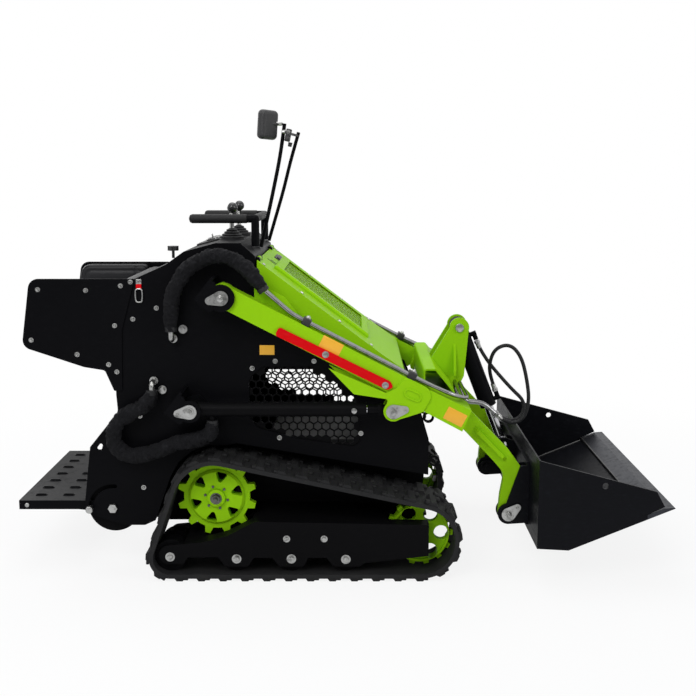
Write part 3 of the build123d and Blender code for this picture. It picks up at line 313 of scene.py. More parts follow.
@dataclass(frozen=True)
class MeshPaint(Paint):
    """Enamel on a frame with a sheet of round-hole mesh inside it."""

    half_long: float = 0.1765
    half_wide: float = 0.180
    lid: float = 0.0085
    pitch: float = 0.0095
    hole: float = 0.0034

    def build(self) -> bpy.types.Material:
        """Makes the material."""
        shader = self.dress()
        offset = {0: shader.place(), 1: HOOD_CENTRE}
        moved = shader.node("ShaderNodeVectorMath", {"operation": "SUBTRACT"}, offset)
        turn = (0.0, -math.radians(HOOD_LEAN), 0.0)
        local = shader.node("ShaderNodeMapping", None, {"Vector": moved, "Rotation": turn})
        along, across, up = shader.split(local)
        near = self._grid(along, across, 0.0).math("MINIMUM", self._grid(along, across, 0.5))
        hole = 1 - near.smooth((self.hole * 0.86) ** 2, (self.hole * 1.14) ** 2)
        inside = (1 - along.math("ABSOLUTE").smooth(self.half_long - 0.001, self.half_long)) * (
            1 - across.math("ABSOLUTE").smooth(self.half_wide - 0.001, self.half_wide)) * (
            1 - up.smooth(self.lid - 0.001, self.lid))
        return shader.finish(Alpha=1 - hole * inside)

    def _grid(self, along: Sock, across: Sock, shift: float) -> Sock:
        """Squared distance to the nearest hole of one of the two grids.

        Args:
            along: place down the slope.
            across: place across it.
            shift: the grid's offset, as a share of its pitch.

        Returns:
            The squared distance.
        """
        row = self.pitch * math.sqrt(3)
        first = ((along / self.pitch + shift).fract() - 0.5) * self.pitch
        second = ((across / row + shift).fract() - 0.5) * row
        return first * first + second * second


@dataclass(frozen=True)
class Steel:
    """Bare or plated steel with brushed streaks and tarnish."""

    name: str
    colour: Colour = (0.60, 0.58, 0.53)
    tint: Colour = (0.42, 0.38, 0.28)
    roughness: float = 0.32
    stretch: Point = (1.0, 1.0, 1.0)
    grain: float = 300.0
    wear: float = 0.35

    def build(self) -> bpy.types.Material:
        """Makes the material."""
        shader = Shader(self.name)
        streaks = shader.noise(shader.place(self.stretch), self.grain, 4.0, 0.6)
        stain = shader.noise(shader.place(), 46.0, 4.0, 0.6).smooth(0.45, 0.8)
        base = shader.mix(self.colour, self.tint, stain * self.wear)
        return shader.finish(
            Base_Color=base,
            Metallic=1.0,
            Roughness=streaks * 0.16 + (self.roughness - 0.08) + stain * 0.12,
            Normal=shader.bump(streaks, 0.00005),
        )


@dataclass(frozen=True)
class Rubber:
    """Moulded rubber with a fine pebble and dry dust in its hollows."""

    name: str
    colour: Colour = (0.018, 0.018, 0.019)
    dust_colour: Colour = (0.075, 0.071, 0.065)
    roughness: float = 0.72
    pebble: float = 420.0
    dust: float = 0.35
    wrap: float = 0.0

    def build(self) -> bpy.types.Material:
        """Makes the material."""
        shader = Shader(self.name)
        at = shader.place()
        pebble = shader.noise(at, self.pebble, 3.0, 0.6)
        if self.wrap:
            pebble = pebble * 0.2 + (1 - shader.cells(at, self.wrap)) * 3.0
        scuff = shader.noise(at, 21.0, 7.0, 0.7).smooth(0.46, 0.78)
        base = shader.mix(self.colour, self.dust_colour, scuff * self.dust)
        return shader.finish(
            Base_Color=base,
            Roughness=pebble * 0.2 + (self.roughness - 0.1) + scuff * 0.1,
            Specular_IOR_Level=0.28,
            Normal=shader.bump(pebble, 0.0004),
        )


@dataclass(frozen=True)
class Sleeve:
    """Woven nylon hose sleeve with crumpled folds, and a painted highlight on the crests of the folds."""

    name: str
    colour: Colour = (0.0055, 0.0055, 0.0065)
    # Paler thread of the weave, also used as the painted highlight on the fold crests.
    thread: Colour = (0.016, 0.016, 0.019)
    pitch: float = 0.0022

    def build(self) -> bpy.types.Material:
        """Makes the material."""
        shader = Shader(self.name)
        at = shader.place()
        along, across, up = shader.split(at)
        turn = 2 * math.pi / self.pitch
        warp = (along * turn + up * turn).math("SINE")
        weft = (along * turn - up * turn + across * turn).math("SINE")
        weave = (warp * weft) * 0.5 + 0.5
        folds = shader.noise(at, 60.0, 5.0, 0.55)
        height = weave * 0.12 + folds
        # Paler where the weave's threads show, plus a painted highlight where the folds rise.
        base = shader.mix(self.colour, self.thread, weave * 0.3 + folds.smooth(0.5, 0.8) * 0.6)
        return shader.finish(
            Base_Color=base,
            Roughness=0.92 - folds.smooth(0.4, 0.9) * 0.25,
            Specular_IOR_Level=0.16,
            Normal=shader.bump(height, 0.007, 0.9),
        )


@dataclass(frozen=True)
class Leather:
    """Grained upholstery vinyl with creases."""

    name: str
    colour: Colour = (0.0095, 0.0095, 0.011)
    roughness: float = 0.40

    def build(self) -> bpy.types.Material:
        """Makes the material."""
        shader = Shader(self.name)
        at = shader.place()
        grain = shader.cells(at, 420.0, "SMOOTH_F1")
        crease = shader.noise(at, 18.0, 5.0, 0.6)
        pale = tuple(channel * 2.2 for channel in self.colour)
        return shader.finish(
            Base_Color=shader.mix(self.colour, pale, crease.smooth(0.45, 0.8) * 0.6),
            Roughness=grain * 0.2 + crease * 0.15 + (self.roughness - 0.12),
            Specular_IOR_Level=0.22,
            Normal=shader.bump(grain * 0.25 + crease, 0.0014),
        )


@dataclass(frozen=True)
class Moulded:
    """Injection-moulded plastic with a fine spark texture."""

    name: str
    colour: Colour = (0.015, 0.015, 0.016)
    roughness: float = 0.35
    texture: float = 0.0001

    def build(self) -> bpy.types.Material:
        """Makes the material."""
        shader = Shader(self.name)
        at = shader.place()
        spark = shader.noise(at, 1100.0, 2.0)
        rub = shader.noise(at, 12.0, 4.0).smooth(0.5, 0.8)
        pale = tuple(channel * 1.5 + 0.004 for channel in self.colour)
        return shader.finish(
            Base_Color=shader.mix(self.colour, pale, rub * 0.5),
            Roughness=spark * 0.12 + (self.roughness - 0.05) + rub * 0.08,
            Normal=shader.bump(spark, self.texture),
        )


@dataclass(frozen=True)
class Casting:
    """Rough cast iron under a thin coat."""

    name: str
    colour: Colour = (0.03, 0.03, 0.032)

    def build(self) -> bpy.types.Material:
        """Makes the material."""
        shader = Shader(self.name)
        at = shader.place()
        sand = shader.noise(at, 260.0, 4.0, 0.65)
        rust = shader.noise(at, 14.0, 6.0, 0.7).smooth(0.55, 0.8)
        return shader.finish(
            Base_Color=shader.mix(self.colour, (0.07, 0.04, 0.025), rust * 0.4),
            Roughness=sand * 0.3 + 0.45,
            Metallic=0.2,
            Normal=shader.bump(sand, 0.0006),
        )


@dataclass(frozen=True)
class Mirror:
    """Silvered mirror glass with a few water marks."""

    name: str
    colour: Colour = (0.86, 0.88, 0.9)

    def build(self) -> bpy.types.Material:
        """Makes the material."""
        shader = Shader(self.name)
        marks = shader.noise(shader.place(), 90.0, 5.0).smooth(0.62, 0.8)
        return shader.finish(
            Base_Color=shader.mix(self.colour, (0.7, 0.71, 0.72), marks * 0.5),
            Metallic=1.0,
            Roughness=marks * 0.2 + 0.03,
        )


class Finish(Enum):
    """Every finish on the machine."""

    LIME = Paint("lime_enamel", (0.275, 0.57, 0.0070), 0.38, 0.02, 0.012, dust=0.03)
    GRILLE = MeshPaint("lime_mesh_enamel", (0.275, 0.57, 0.0070), 0.38, 0.02, 0.012, dust=0.03)
    DIAL = Moulded("pale_dial_face", (0.34, 0.34, 0.33), 0.5)
    BLACK = Paint("black_powder_coat", (0.0036, 0.0036, 0.0044), 0.38, 0.0, 0.035, dust=0.12,
                  dust_colour=(0.014, 0.014, 0.016))
    FRAME = Paint("black_frame_paint", (0.0036, 0.0035, 0.0040), 0.46, 0.0, 0.04, dust=0.14,
                  dust_colour=(0.015, 0.014, 0.014))
    BUCKET = Paint("black_bucket_paint", (0.0042, 0.0044, 0.0058), 0.38, 0.0, 0.07, dust=0.22,
                   dust_colour=(0.020, 0.023, 0.030))
    RED = Paint("red_enamel", (0.62, 0.003, 0.006), 0.34, 0.04, 0.03)
    LABEL = Paint("blank_label_film", (0.85, 0.43, 0.035), 0.34, 0.1, 0.3, peel=0.00003, dust=0.04)
    ZINC = Steel("zinc_plate", (0.46, 0.46, 0.45), (0.11, 0.11, 0.105), 0.30, wear=0.95)
    NUT = Steel("dark_steel_nut", (0.13, 0.13, 0.125), (0.05, 0.045, 0.04), 0.34, wear=0.8)
    PIPE = Steel("plated_pipe", (0.30, 0.30, 0.305), (0.08, 0.08, 0.085), 0.17, wear=0.8)
    CHROME = Steel("chromed_rod", (0.50, 0.50, 0.52), (0.36, 0.36, 0.38), 0.14, grain=500.0, wear=0.1)
    WORN = Steel("worn_edge_steel", (0.050, 0.052, 0.060), (0.018, 0.018, 0.021), 0.44, (1.0, 0.1, 1.0),
                 220.0, 0.7)
    WELD = Steel("weld_bead", (0.10, 0.10, 0.10), (0.05, 0.045, 0.04), 0.5, grain=500.0, wear=0.5)
    TRACK = Rubber("track_rubber", (0.0085, 0.0085, 0.0092), (0.034, 0.032, 0.030))
    BOOT = Rubber("boot_rubber", (0.0065, 0.0065, 0.007), roughness=0.62, dust=0.06)
    WRAP = Rubber("wrapped_hose", (0.008, 0.008, 0.009), (0.05, 0.05, 0.052), 0.42, dust=0.2, wrap=210.0)
    HOSE = Rubber("hose_cover", (0.009, 0.009, 0.010), roughness=0.5, pebble=900.0, dust=0.1)
    SLEEVE = Sleeve("nylon_hose_sleeve")
    LEATHER = Leather("upholstery_vinyl")
    KNOB = Moulded("gloss_knob_plastic", roughness=0.22)
    SHELL = Moulded("matte_shell_plastic", (0.014, 0.014, 0.015), 0.5, 0.0003)
    IRON = Casting("engine_casting")
    GLASS = Mirror("mirror_glass_face")

    @cached_property
    def material(self) -> bpy.types.Material:
        """The finish's material, made once."""
        return self.value.build()


SLOTS = {
    Finish.ZINC: "zinc", Finish.NUT: "zinc", Finish.SHELL: "mirror_shell", Finish.BLACK: "black_paint",
    Finish.FRAME: "frame_black", Finish.RED: "red_paint", Finish.BOOT: "boot_rubber",
    Finish.HOSE: "hose_rubber", Finish.WRAP: "hose_rubber", Finish.SLEEVE: "hose_sleeve",
    Finish.KNOB: "knob_plastic", Finish.LEATHER: "pad_leather", Finish.TRACK: "track_rubber",
}


# Mesh tools


class Maker:
    """Collects shapes in one bmesh and turns them into one piece."""

    def __init__(self) -> None:
        """Starts with an empty mesh."""
        self.mesh = bmesh.new()

    def cone(self, at: Point | Vector, turn: Matrix, low: float, high: float, depth: float, sides: int,
             bevel: float = 0.0) -> None:
        """Adds a cylinder, cone or prism that stands on a point.

        Args:
            at: the middle of its foot.
            turn: rotation from +Z to its direction.
            low: radius at the foot.
            high: radius at the top.
            depth: height.
            sides: number of sides.
            bevel: width of the bevel round its top.
        """
        place = Matrix.Translation(at) @ turn.to_4x4() @ Matrix.Translation((0, 0, depth / 2))
        made = bmesh.ops.create_cone(self.mesh, cap_ends=True, segments=sides, radius1=low, radius2=high,
                                     depth=depth, matrix=place)
        if bevel:
            tip = Vector(at) + turn @ Vector((0, 0, depth))
            facing = turn @ Vector((0, 0, 1))
            ring = [edge for edge in {edge for vert in made["verts"] for edge in vert.link_edges}
                    if all(abs((vert.co - tip).dot(facing)) < 1e-6 for vert in edge.verts)]
            bmesh.ops.bevel(self.mesh, geom=ring, offset=bevel, affect="EDGES", segments=2, profile=0.5,
                            material=-1)

    def box(self, centre: Point, size: Point, turn: Matrix | None = None, bevel: float = 0.0) -> None:
        """Adds a box with rounded edges.

        Args:
            centre: its middle.
            size: its lengths.
            turn: its rotation.
            bevel: width of its edge rounding.
        """
        turn = turn or Matrix.Identity(3)
        place = Matrix.Translation(centre) @ turn.to_4x4() @ Matrix.Diagonal((*size, 1.0))
        made = bmesh.ops.create_cube(self.mesh, size=1.0, matrix=place)
        if bevel:
            edges = list({edge for vert in made["verts"] for edge in vert.link_edges})
            bmesh.ops.bevel(self.mesh, geom=edges, offset=bevel, affect="EDGES", segments=2, profile=0.5,
                            material=-1)

    def bolt(self, x: float, y: float, z: float, side: Side, size: float = 0.0065,
             washer: bool = True) -> None:
        """Adds a hex bolt head and its washer on a face that looks along Y.

        Args:
            x: place along the machine.
            y: distance of the face from the centre plane.
            z: height.
            side: side of the machine.
            size: half the head's width.
            washer: whether it has a washer.
        """
        if washer:
            self.cone(side.at(x, y, z), side.out, size * 1.75, size * 1.75, 0.0016, 20)
            y += 0.0014
        spin = side.out @ Matrix.Rotation(x * 9.0 + z * 5.0, 3, "Z")
        self.cone(side.at(x, y, z), spin, size * 1.15, size * 1.15, size * 0.9, 6, size * 0.14)

    def button(self, at: Point, turn: Matrix, size: float = 0.0062) -> None:
        """Adds a washer and a button head with a hex socket.

        Args:
            at: the middle of its foot.
            turn: rotation from +Z to its direction.
            size: the head's radius.
        """
        facing = turn @ Vector((0, 0, 1))
        self.cone(at, turn, size * 1.4, size * 1.4, 0.0014, 20)
        foot = Vector(at) + facing * 0.0013
        before = set(self.mesh.faces)
        self.cone(foot, turn, size, size * 0.72, size * 0.52, 18)
        top = max((face for face in self.mesh.faces if face not in before),
                  key=lambda face: face.calc_center_median().dot(facing))
        bmesh.ops.inset_region(self.mesh, faces=[top], thickness=size * 0.30, depth=0.0)
        bmesh.ops.translate(self.mesh, verts=list(top.verts), vec=facing * -size * 0.34)

    def castle_nut(self, at: Point, turn: Matrix, size: float = 0.0125) -> None:
        """Adds a washer, a hex nut and the end of its bolt.

        Args:
            at: the middle of its foot.
            turn: rotation from +Z to its direction.
            size: half the nut's width across its corners.
        """
        facing = turn @ Vector((0, 0, 1))
        self.cone(at, turn, size * 1.28, size * 1.28, 0.002, 26)
        self.cone(Vector(at) + facing * 0.0018, turn, size, size, size * 0.62, 6, size * 0.09)
        end = Vector(at) + facing * (0.0016 + size * 0.6)
        self.cone(end, turn, size * 0.56, size * 0.5, size * 0.4, 18, 0.0006)

    def pin_bolts(self, x: float, y: float, z: float, tail: float, side: Side, size: float = 0.0125,
                  drop: float = 0.002) -> None:
        """Adds the nut of a pin and the screw at the tail of its keeper.

        Args:
            x: the pin's place along the machine.
            y: distance of the nut's foot from the centre plane.
            z: the pin's height.
            tail: direction of the keeper's tail in degrees.
            side: the side that it faces.
            size: half the nut's width across its corners.
            drop: how far the screw's foot lies below the nut's.
        """
        turned = math.radians(tail)
        self.castle_nut(side.at(x, y, z), side.out, size)
        end = side.at(x + KEEPER_REACH * math.cos(turned), y - drop, z + KEEPER_REACH * math.sin(turned))
        self.button(end, side.out, KEEPER_SCREW)

    def teardrop(self, at: Point, tail: float, side: Side, head: float = 0.025, foot: float = 0.013,
                 reach: float = KEEPER_REACH, depth: float = 0.0022) -> None:
        """Adds a flat keeper: the hull of a large and a small round.

        Args:
            at: the middle of the large round.
            tail: direction of the small round in degrees, seen from the near side.
            side: the side that it faces.
            head: the large round's radius.
            foot: the small round's radius.
            reach: distance between the two.
            depth: its thickness.
        """
        spread = math.acos((head - foot) / reach)
        rim = []
        rounds = ((0.0, head, spread, 2 * math.pi - spread), (reach, foot, -spread, spread))
        for middle, radius, start, end in rounds:
            for step in range(17):
                angle = start + (end - start) * step / 16
                rim.append((middle + radius * math.cos(angle), radius * math.sin(angle)))
        turned = math.radians(tail)
        low, high = [], []
        for along, up in rim:
            x = at[0] + along * math.cos(turned) - up * math.sin(turned)
            z = at[2] + along * math.sin(turned) + up * math.cos(turned)
            low.append((x, at[1], z))
            high.append((x, at[1] + side.value * depth, z))
        self.slab(low, high)

    def slab(self, low: Sequence[Point], high: Sequence[Point]) -> None:
        """Adds the closed solid between two outlines.

        Args:
            low: one outline.
            high: the other, point by point.
        """
        rings = [[self.mesh.verts.new(point) for point in outline] for outline in (low, high)]
        faces = [self.mesh.faces.new(ring) for ring in rings]
        for (here, after), (above, beyond) in zip(*(zip(ring, ring[1:] + ring[:1]) for ring in rings)):
            faces.append(self.mesh.faces.new((here, after, beyond, above)))
        bmesh.ops.recalc_face_normals(self.mesh, faces=faces)

    def data(self, name: str) -> bpy.types.Mesh:
        """Ends the work and hands over its mesh."""
        bmesh.ops.recalc_face_normals(self.mesh, faces=self.mesh.faces)
        data = bpy.data.meshes.new(name)
        self.mesh.to_mesh(data)
        self.mesh.free()
        return data

    def piece(self, name: str, body: Body, finish: Finish) -> bpy.types.Object:
        """Makes the piece and lets it ride.

        Args:
            name: the piece's name.
            body: the body that it rides on.
            finish: its finish.

        Returns:
            The piece.
        """
        return settle(name, self.data(name), body, finish)


def settle(name: str, data: bpy.types.Mesh, body: Body | None, finish: Finish) -> bpy.types.Object:
    """Links a mesh as a piece, finished and riding.

    Args:
        name: the piece's name.
        data: its mesh.
        body: the body that it rides on, or None for a piece that spans two bodies and rides on neither.
        finish: its finish.

    Returns:
        The piece.
    """
    data.materials.clear()
    data.materials.append(finish.material)
    data.shade_smooth()
    data.set_sharp_from_angle(angle=SHARP_ANGLE)
    piece = bpy.data.objects.new(name, data)
    bpy.context.scene.collection.objects.link(piece)
    if body:
        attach(piece, body.value)
    finish in SLOTS
    LOG.info("%s rides on %s", name, body.value if body else "two bodies")
    return piece


def evaluated(name: str, data: bpy.types.ID, voxel: float = 0.0) -> bpy.types.Mesh:
    """A curve or mesh as Blender's mesh of it.

    Args:
        name: the carrier's name.
        data: the curve or mesh.
        voxel: size of the voxels that remesh it, or 0 to leave it.

    Returns:
        The mesh.
    """
    carrier = bpy.data.objects.new(name, data)
    bpy.context.scene.collection.objects.link(carrier)
    if voxel:
        remesh = carrier.modifiers.new("remesh", "REMESH")
        remesh.mode = "VOXEL"
        remesh.voxel_size = voxel
    bpy.context.view_layer.update()
    mesh = bpy.data.meshes.new_from_object(carrier.evaluated_get(bpy.context.evaluated_depsgraph_get()))
    bpy.data.objects.remove(carrier)
    return mesh


def wire(name: str, points: Sequence[Point], radius: float, closed: bool = False, ends: float = 1.0,
         steps: int = 12, facets: int = 4) -> bpy.types.Mesh:
    """Round bar or tube on a smooth curve.

    Args:
        name: the curve's name.
        points: its control points.
        radius: the bar's radius, or 0 for its line alone.
        closed: whether it comes back to its start.
        ends: thickness of its two ends, as a share of the radius.
        steps: segments between two points.
        facets: roundness of its section.

    Returns:
        The mesh.
    """
    curve = bpy.data.curves.new(name, "CURVE")
    curve.dimensions = "3D"
    curve.resolution_u = steps
    curve.bevel_depth = radius
    curve.bevel_resolution = facets
    curve.use_fill_caps = radius > 0
    spline = curve.splines.new("NURBS")
    spline.points.add(len(points) - 1)
    for point, place in zip(spline.points, points):
        point.co = (*place, 1.0)
        point.radius = 1.0
    spline.points[0].radius = spline.points[-1].radius = ends
    spline.order_u = 3
    if closed:
        spline.use_cyclic_u = True
    else:
        spline.use_endpoint_u = True
    return evaluated(name + "_carrier", curve)


def bead(name: str, points: Sequence[Point], radius: float, body: Body, finish: Finish,
         closed: bool = False) -> None:
    """Makes a round bar on a smooth curve into a piece.

    Args:
        name: the piece's name.
        points: its control points.
        radius: its radius.
        body: the body that it rides on.
        finish: its finish.
        closed: whether it comes back to its start.
    """
    settle(name, wire(name, points, radius, closed), body, finish)


def oval(long: float, wide: float, count: int) -> list[Pair]:
    """Outline of a slot with round ends, about its middle.

    Args:
        long: half its length.
        wide: half its width.
        count: number of points.

    Returns:
        The points.
    """
    angles = [2 * math.pi * step / count for step in range(count)]
    return [(math.cos(angle) * wide + math.copysign(long - wide, math.cos(angle)), math.sin(angle) * wide)
            for angle in angles]


def metres(points: Iterable[Point], side: Side = Side.NEAR) -> list[Point]:
    """Points in millimetres on the near side as metres on either side."""
    flip = -side.value
    return [(x * MM, flip * y * MM, z * MM) for x, y, z in points]


# Stage


@dataclass
class Studio:
    """Camera, floor, lights and world."""

    camera_at: Point = (0.048, -3.98, 1.411)
    pitch: float = 9.46
    lens: float = 54.31
    shift_pixels: float = -5.0
    floor_reach: float = 14.0
    card_at: Point = (0.0, -6.5, 1.5)
    card_size: Point = (5.0, 1.2, 1.0)

    def build(self) -> None:
        """Builds the studio."""
        scene = bpy.context.scene
        scene.view_settings.view_transform = "Standard"
        self._camera(scene)
        self._world(scene)
        self._floor()
        self._card()
        self._lamp("key_softbox", (-1.9, -4.2, 3.9), (0.1, 0.0, 0.7), 2.6, 122.0)
        self._lamp("front_softbox", (4.2, -3.0, 2.8), (0.3, 0.0, 0.6), 2.0, 62.0)
        self._lamp("top_softbox", (-0.4, 0.6, 4.6), (0.0, 0.0, 0.8), 3.0, 70.0)
        self._lamp("back_softbox", (-3.4, 3.4, 2.6), (0.0, 0.0, 0.7), 2.4, 55.0)

    def _camera(self, scene: bpy.types.Scene) -> None:
        """Places the camera where the photograph was taken from."""
        data = bpy.data.cameras.new("photo_camera")
        data.lens = self.lens
        data.sensor_width = 36.0
        data.shift_x = self.shift_pixels / IMAGE_WIDTH
        camera = bpy.data.objects.new("photo_camera", data)
        camera.location = self.camera_at
        camera.rotation_euler = (math.radians(90 - self.pitch), 0, 0)
        scene.collection.objects.link(camera)
        scene.camera = camera

    @staticmethod
    def _sheet(name: str, size: float, shader: Shader) -> bpy.types.Object:
        """Makes one flat square.

        Args:
            name: its name.
            size: half its side.
            shader: its material's shader.

        Returns:
            The square.
        """
        mesh = bmesh.new()
        bmesh.ops.create_grid(mesh, x_segments=1, y_segments=1, size=size)
        data = bpy.data.meshes.new(name)
        mesh.to_mesh(data)
        mesh.free()
        data.materials.append(shader.material)
        sheet = bpy.data.objects.new(name, data)
        bpy.context.scene.collection.objects.link(sheet)
        return sheet

    def _floor(self) -> bpy.types.Object:
        """Pale floor that reads as the photograph's white and keeps a faint shadow."""
        shader = Shader("pale_floor")
        path = shader.node("ShaderNodeLightPath", output="Is Camera Ray")
        glossy = shader.node("ShaderNodeLightPath", output="Is Glossy Ray")
        glow = shader.node("ShaderNodeEmission", None, {"Color": (1, 1, 1, 1), "Strength": 1.0})
        shader.finish(Base_Color=(0.86, 0.86, 0.86), Roughness=0.9, Specular_IOR_Level=0.1)
        base = Sock(shader, shader.surface.outputs[0])
        away = shader.node("ShaderNodeVectorMath", {"operation": "LENGTH"}, {0: shader.place()}, "Value")
        share = path * (away.smooth(1.1, 3.2) * 0.14 + 0.86) + glossy * 0.35
        mixed = shader.node("ShaderNodeMixShader", None, {0: share, 1: base, 2: glow})
        shader.feed(shader.tree.nodes["Material Output"].inputs["Surface"], mixed)
        return self._sheet("floor", self.floor_reach, shader)

    def _card(self) -> bpy.types.Object:
        """Dark card behind the camera, seen only in reflections, that gives bright metal its dark core."""
        shader = Shader("dark_card")
        shader.finish(Base_Color=(0.01, 0.01, 0.01), Roughness=1.0, Specular_IOR_Level=0.0)
        card = self._sheet("dark_card", 1.0, shader)
        card.location = self.card_at
        card.scale = self.card_size
        card.rotation_euler = (math.radians(90), 0, 0)
        card.visible_camera = card.visible_shadow = card.visible_diffuse = False
        return card

    def _world(self, scene: bpy.types.Scene) -> None:
        """White for the camera and a soft grey for the object."""
        world = bpy.data.worlds.new("studio_world")
        world.use_nodes = True
        scene.world = world
        nodes, links = world.node_tree.nodes, world.node_tree.links
        ground, white = nodes["Background"], nodes.new("ShaderNodeBackground")
        for sky, colour, strength in ((ground, (0.92, 0.95, 1.0, 1.0), 0.42), (white, (1, 1, 1, 1), 1.0)):
            sky.inputs["Color"].default_value = colour
            sky.inputs["Strength"].default_value = strength
        rays = nodes.new("ShaderNodeLightPath").outputs
        mix = nodes.new("ShaderNodeMixShader")
        direct, seen = nodes.new("ShaderNodeMath"), nodes.new("ShaderNodeMath")
        direct.operation = seen.operation = "ADD"
        for output, socket in (
            (rays["Is Camera Ray"], direct.inputs[0]), (rays["Is Glossy Ray"], direct.inputs[1]),
            (direct.outputs[0], seen.inputs[0]), (rays["Is Transmission Ray"], seen.inputs[1]),
            (seen.outputs[0], mix.inputs[0]), (ground.outputs[0], mix.inputs[1]),
            (white.outputs[0], mix.inputs[2]), (mix.outputs[0], nodes["World Output"].inputs["Surface"]),
        ):
            links.new(output, socket)

    def _lamp(self, name: str, at: Point, aim: Point, size: float, power: float) -> None:
        """Adds one square softbox.

        Args:
            name: the lamp's name.
            at: its place.
            aim: the point that it faces.
            size: its side.
            power: its power in watts.
        """
        data = bpy.data.lights.new(name, "AREA")
        data.size = size
        data.energy = power
        lamp = bpy.data.objects.new(name, data)
        lamp.location = at
        lamp.rotation_euler = (Vector(aim) - Vector(at)).to_track_quat("-Z", "Y").to_euler()
        bpy.context.scene.collection.objects.link(lamp)


# Sub-assemblies


NODE_FINISHES = {
    Finish.BLACK: ("side_plates", "front_panel", "console", "wing_panels", "grab_bars", "mirror_posts",
                   "pin_brackets", "tie_down_rings", "step_deck", "tilt_barrel"),
    Finish.FRAME: ("chassis_tub", "vent_grilles", "track_frames", "track_rollers", "lift_barrels"),
    Finish.LIME: ("drive_sprockets", "front_idlers", "hood", "boom_arms", "boom_cross_tube", "boom_legs",
                  "tilt_bracket"),
    Finish.ZINC: ("bracket_pins", "hose_fittings", "step_lock_handle", "knee_pins"),
    Finish.IRON: ("engine_block", "drive_motors"),
    Finish.CHROME: ("lift_rods", "tilt_rod"),
    Finish.BUCKET: ("coupler", "bucket_shell"),
    Finish.KNOB: ("control_levers",),
    Finish.SHELL: ("mirror_head",),
    Finish.GLASS: ("mirror_glass",),
    Finish.TRACK: ("rubber_tracks",),
    Finish.GRILLE: ("hood_grille",),
    Finish.PIPE: ("boom_pipes",),
    Finish.RED: ("lock_bars",),
    Finish.WORN: ("cutting_edge",),
}


def dress_frame(nodes: Mapping[str, bpy.types.Object]) -> None:
    """Gives each node that comes from the frame its finish.

    Args:
        nodes: the frame's objects by node.
    """
    for finish, names in NODE_FINISHES.items():
        for name in names:
            materials = nodes[name].data.materials
            materials.clear()
            materials.append(finish.material)
            LOG.info("%s wears %s", name, finish.name)


@dataclass(frozen=True)
class Hose:
    """One hose: its route in millimetres, and where it goes over from its first body to its second."""

    name: str
    node: str
    bodies: tuple[Body, Body]
    bend: tuple[Point, Point]
    route: tuple[Point, ...]


SLEEVES = (
    Hose("upper_hose_sleeves", "upper_hose_sleeves", (Body.CHASSIS, Body.BOOM),
         ((-0.575, 0.0, 1.05), (-0.262, 0.0, 1.05)), (
             (-580, -402, 874), (-580, -402, 914), (-576, -402, 980), (-554, -402, 1042),
             (-516, -402, 1090), (-468, -404, 1122), (-414, -408, 1136), (-360, -418, 1124),
             (-316, -434, 1096), (-282, -448, 1060), (-252, -450, 1018))),
    Hose("lower_hose_sleeves", "lower_hose_sleeves", (Body.CHASSIS, Body.LIFT_BARREL),
         ((-0.62, 0.0, 0.5), (-0.44, 0.0, 0.5)), (
             (-652, -402, 664), (-652, -402, 634), (-694, -402, 600), (-752, -402, 576), (-792, -402, 528),
             (-792, -402, 470), (-752, -402, 432), (-692, -402, 432), (-634, -406, 452), (-576, -414, 478),
             (-516, -426, 492), (-462, -436, 506), (-438, -441, 534), (-438, -441, 566))),
)
BARE_HOSES = (
    Hose("tilt_hose_upper", "tilt_hoses", (Body.TILT_BARREL, Body.BOOM),
         ((0.560, -0.002, 0.70), (0.650, -0.040, 0.60)), (
             (522.0, 0, 777.2), (543.9, 0, 721.3), (648, -40, 602), (708, -58, 548), (690, -68, 486),
             (628, -72, 476), (588.3, -72, 511.7))),
    Hose("tilt_hose_lower", "tilt_hoses", (Body.TILT_BARREL, Body.BOOM),
         ((0.58, -0.004, 0.64), (0.58, -0.064, 0.64)), (
             (599.1, 0, 580.1), (580.9, 0, 626.6), (566, -40, 690), (584, -60, 756), (640, -70, 776),
             (684, -76, 728), (706, -84, 640), (716, -90, 556), (694, -94, 484), (630, -95, 472),
             (588.3, -95, 511.7))),
)


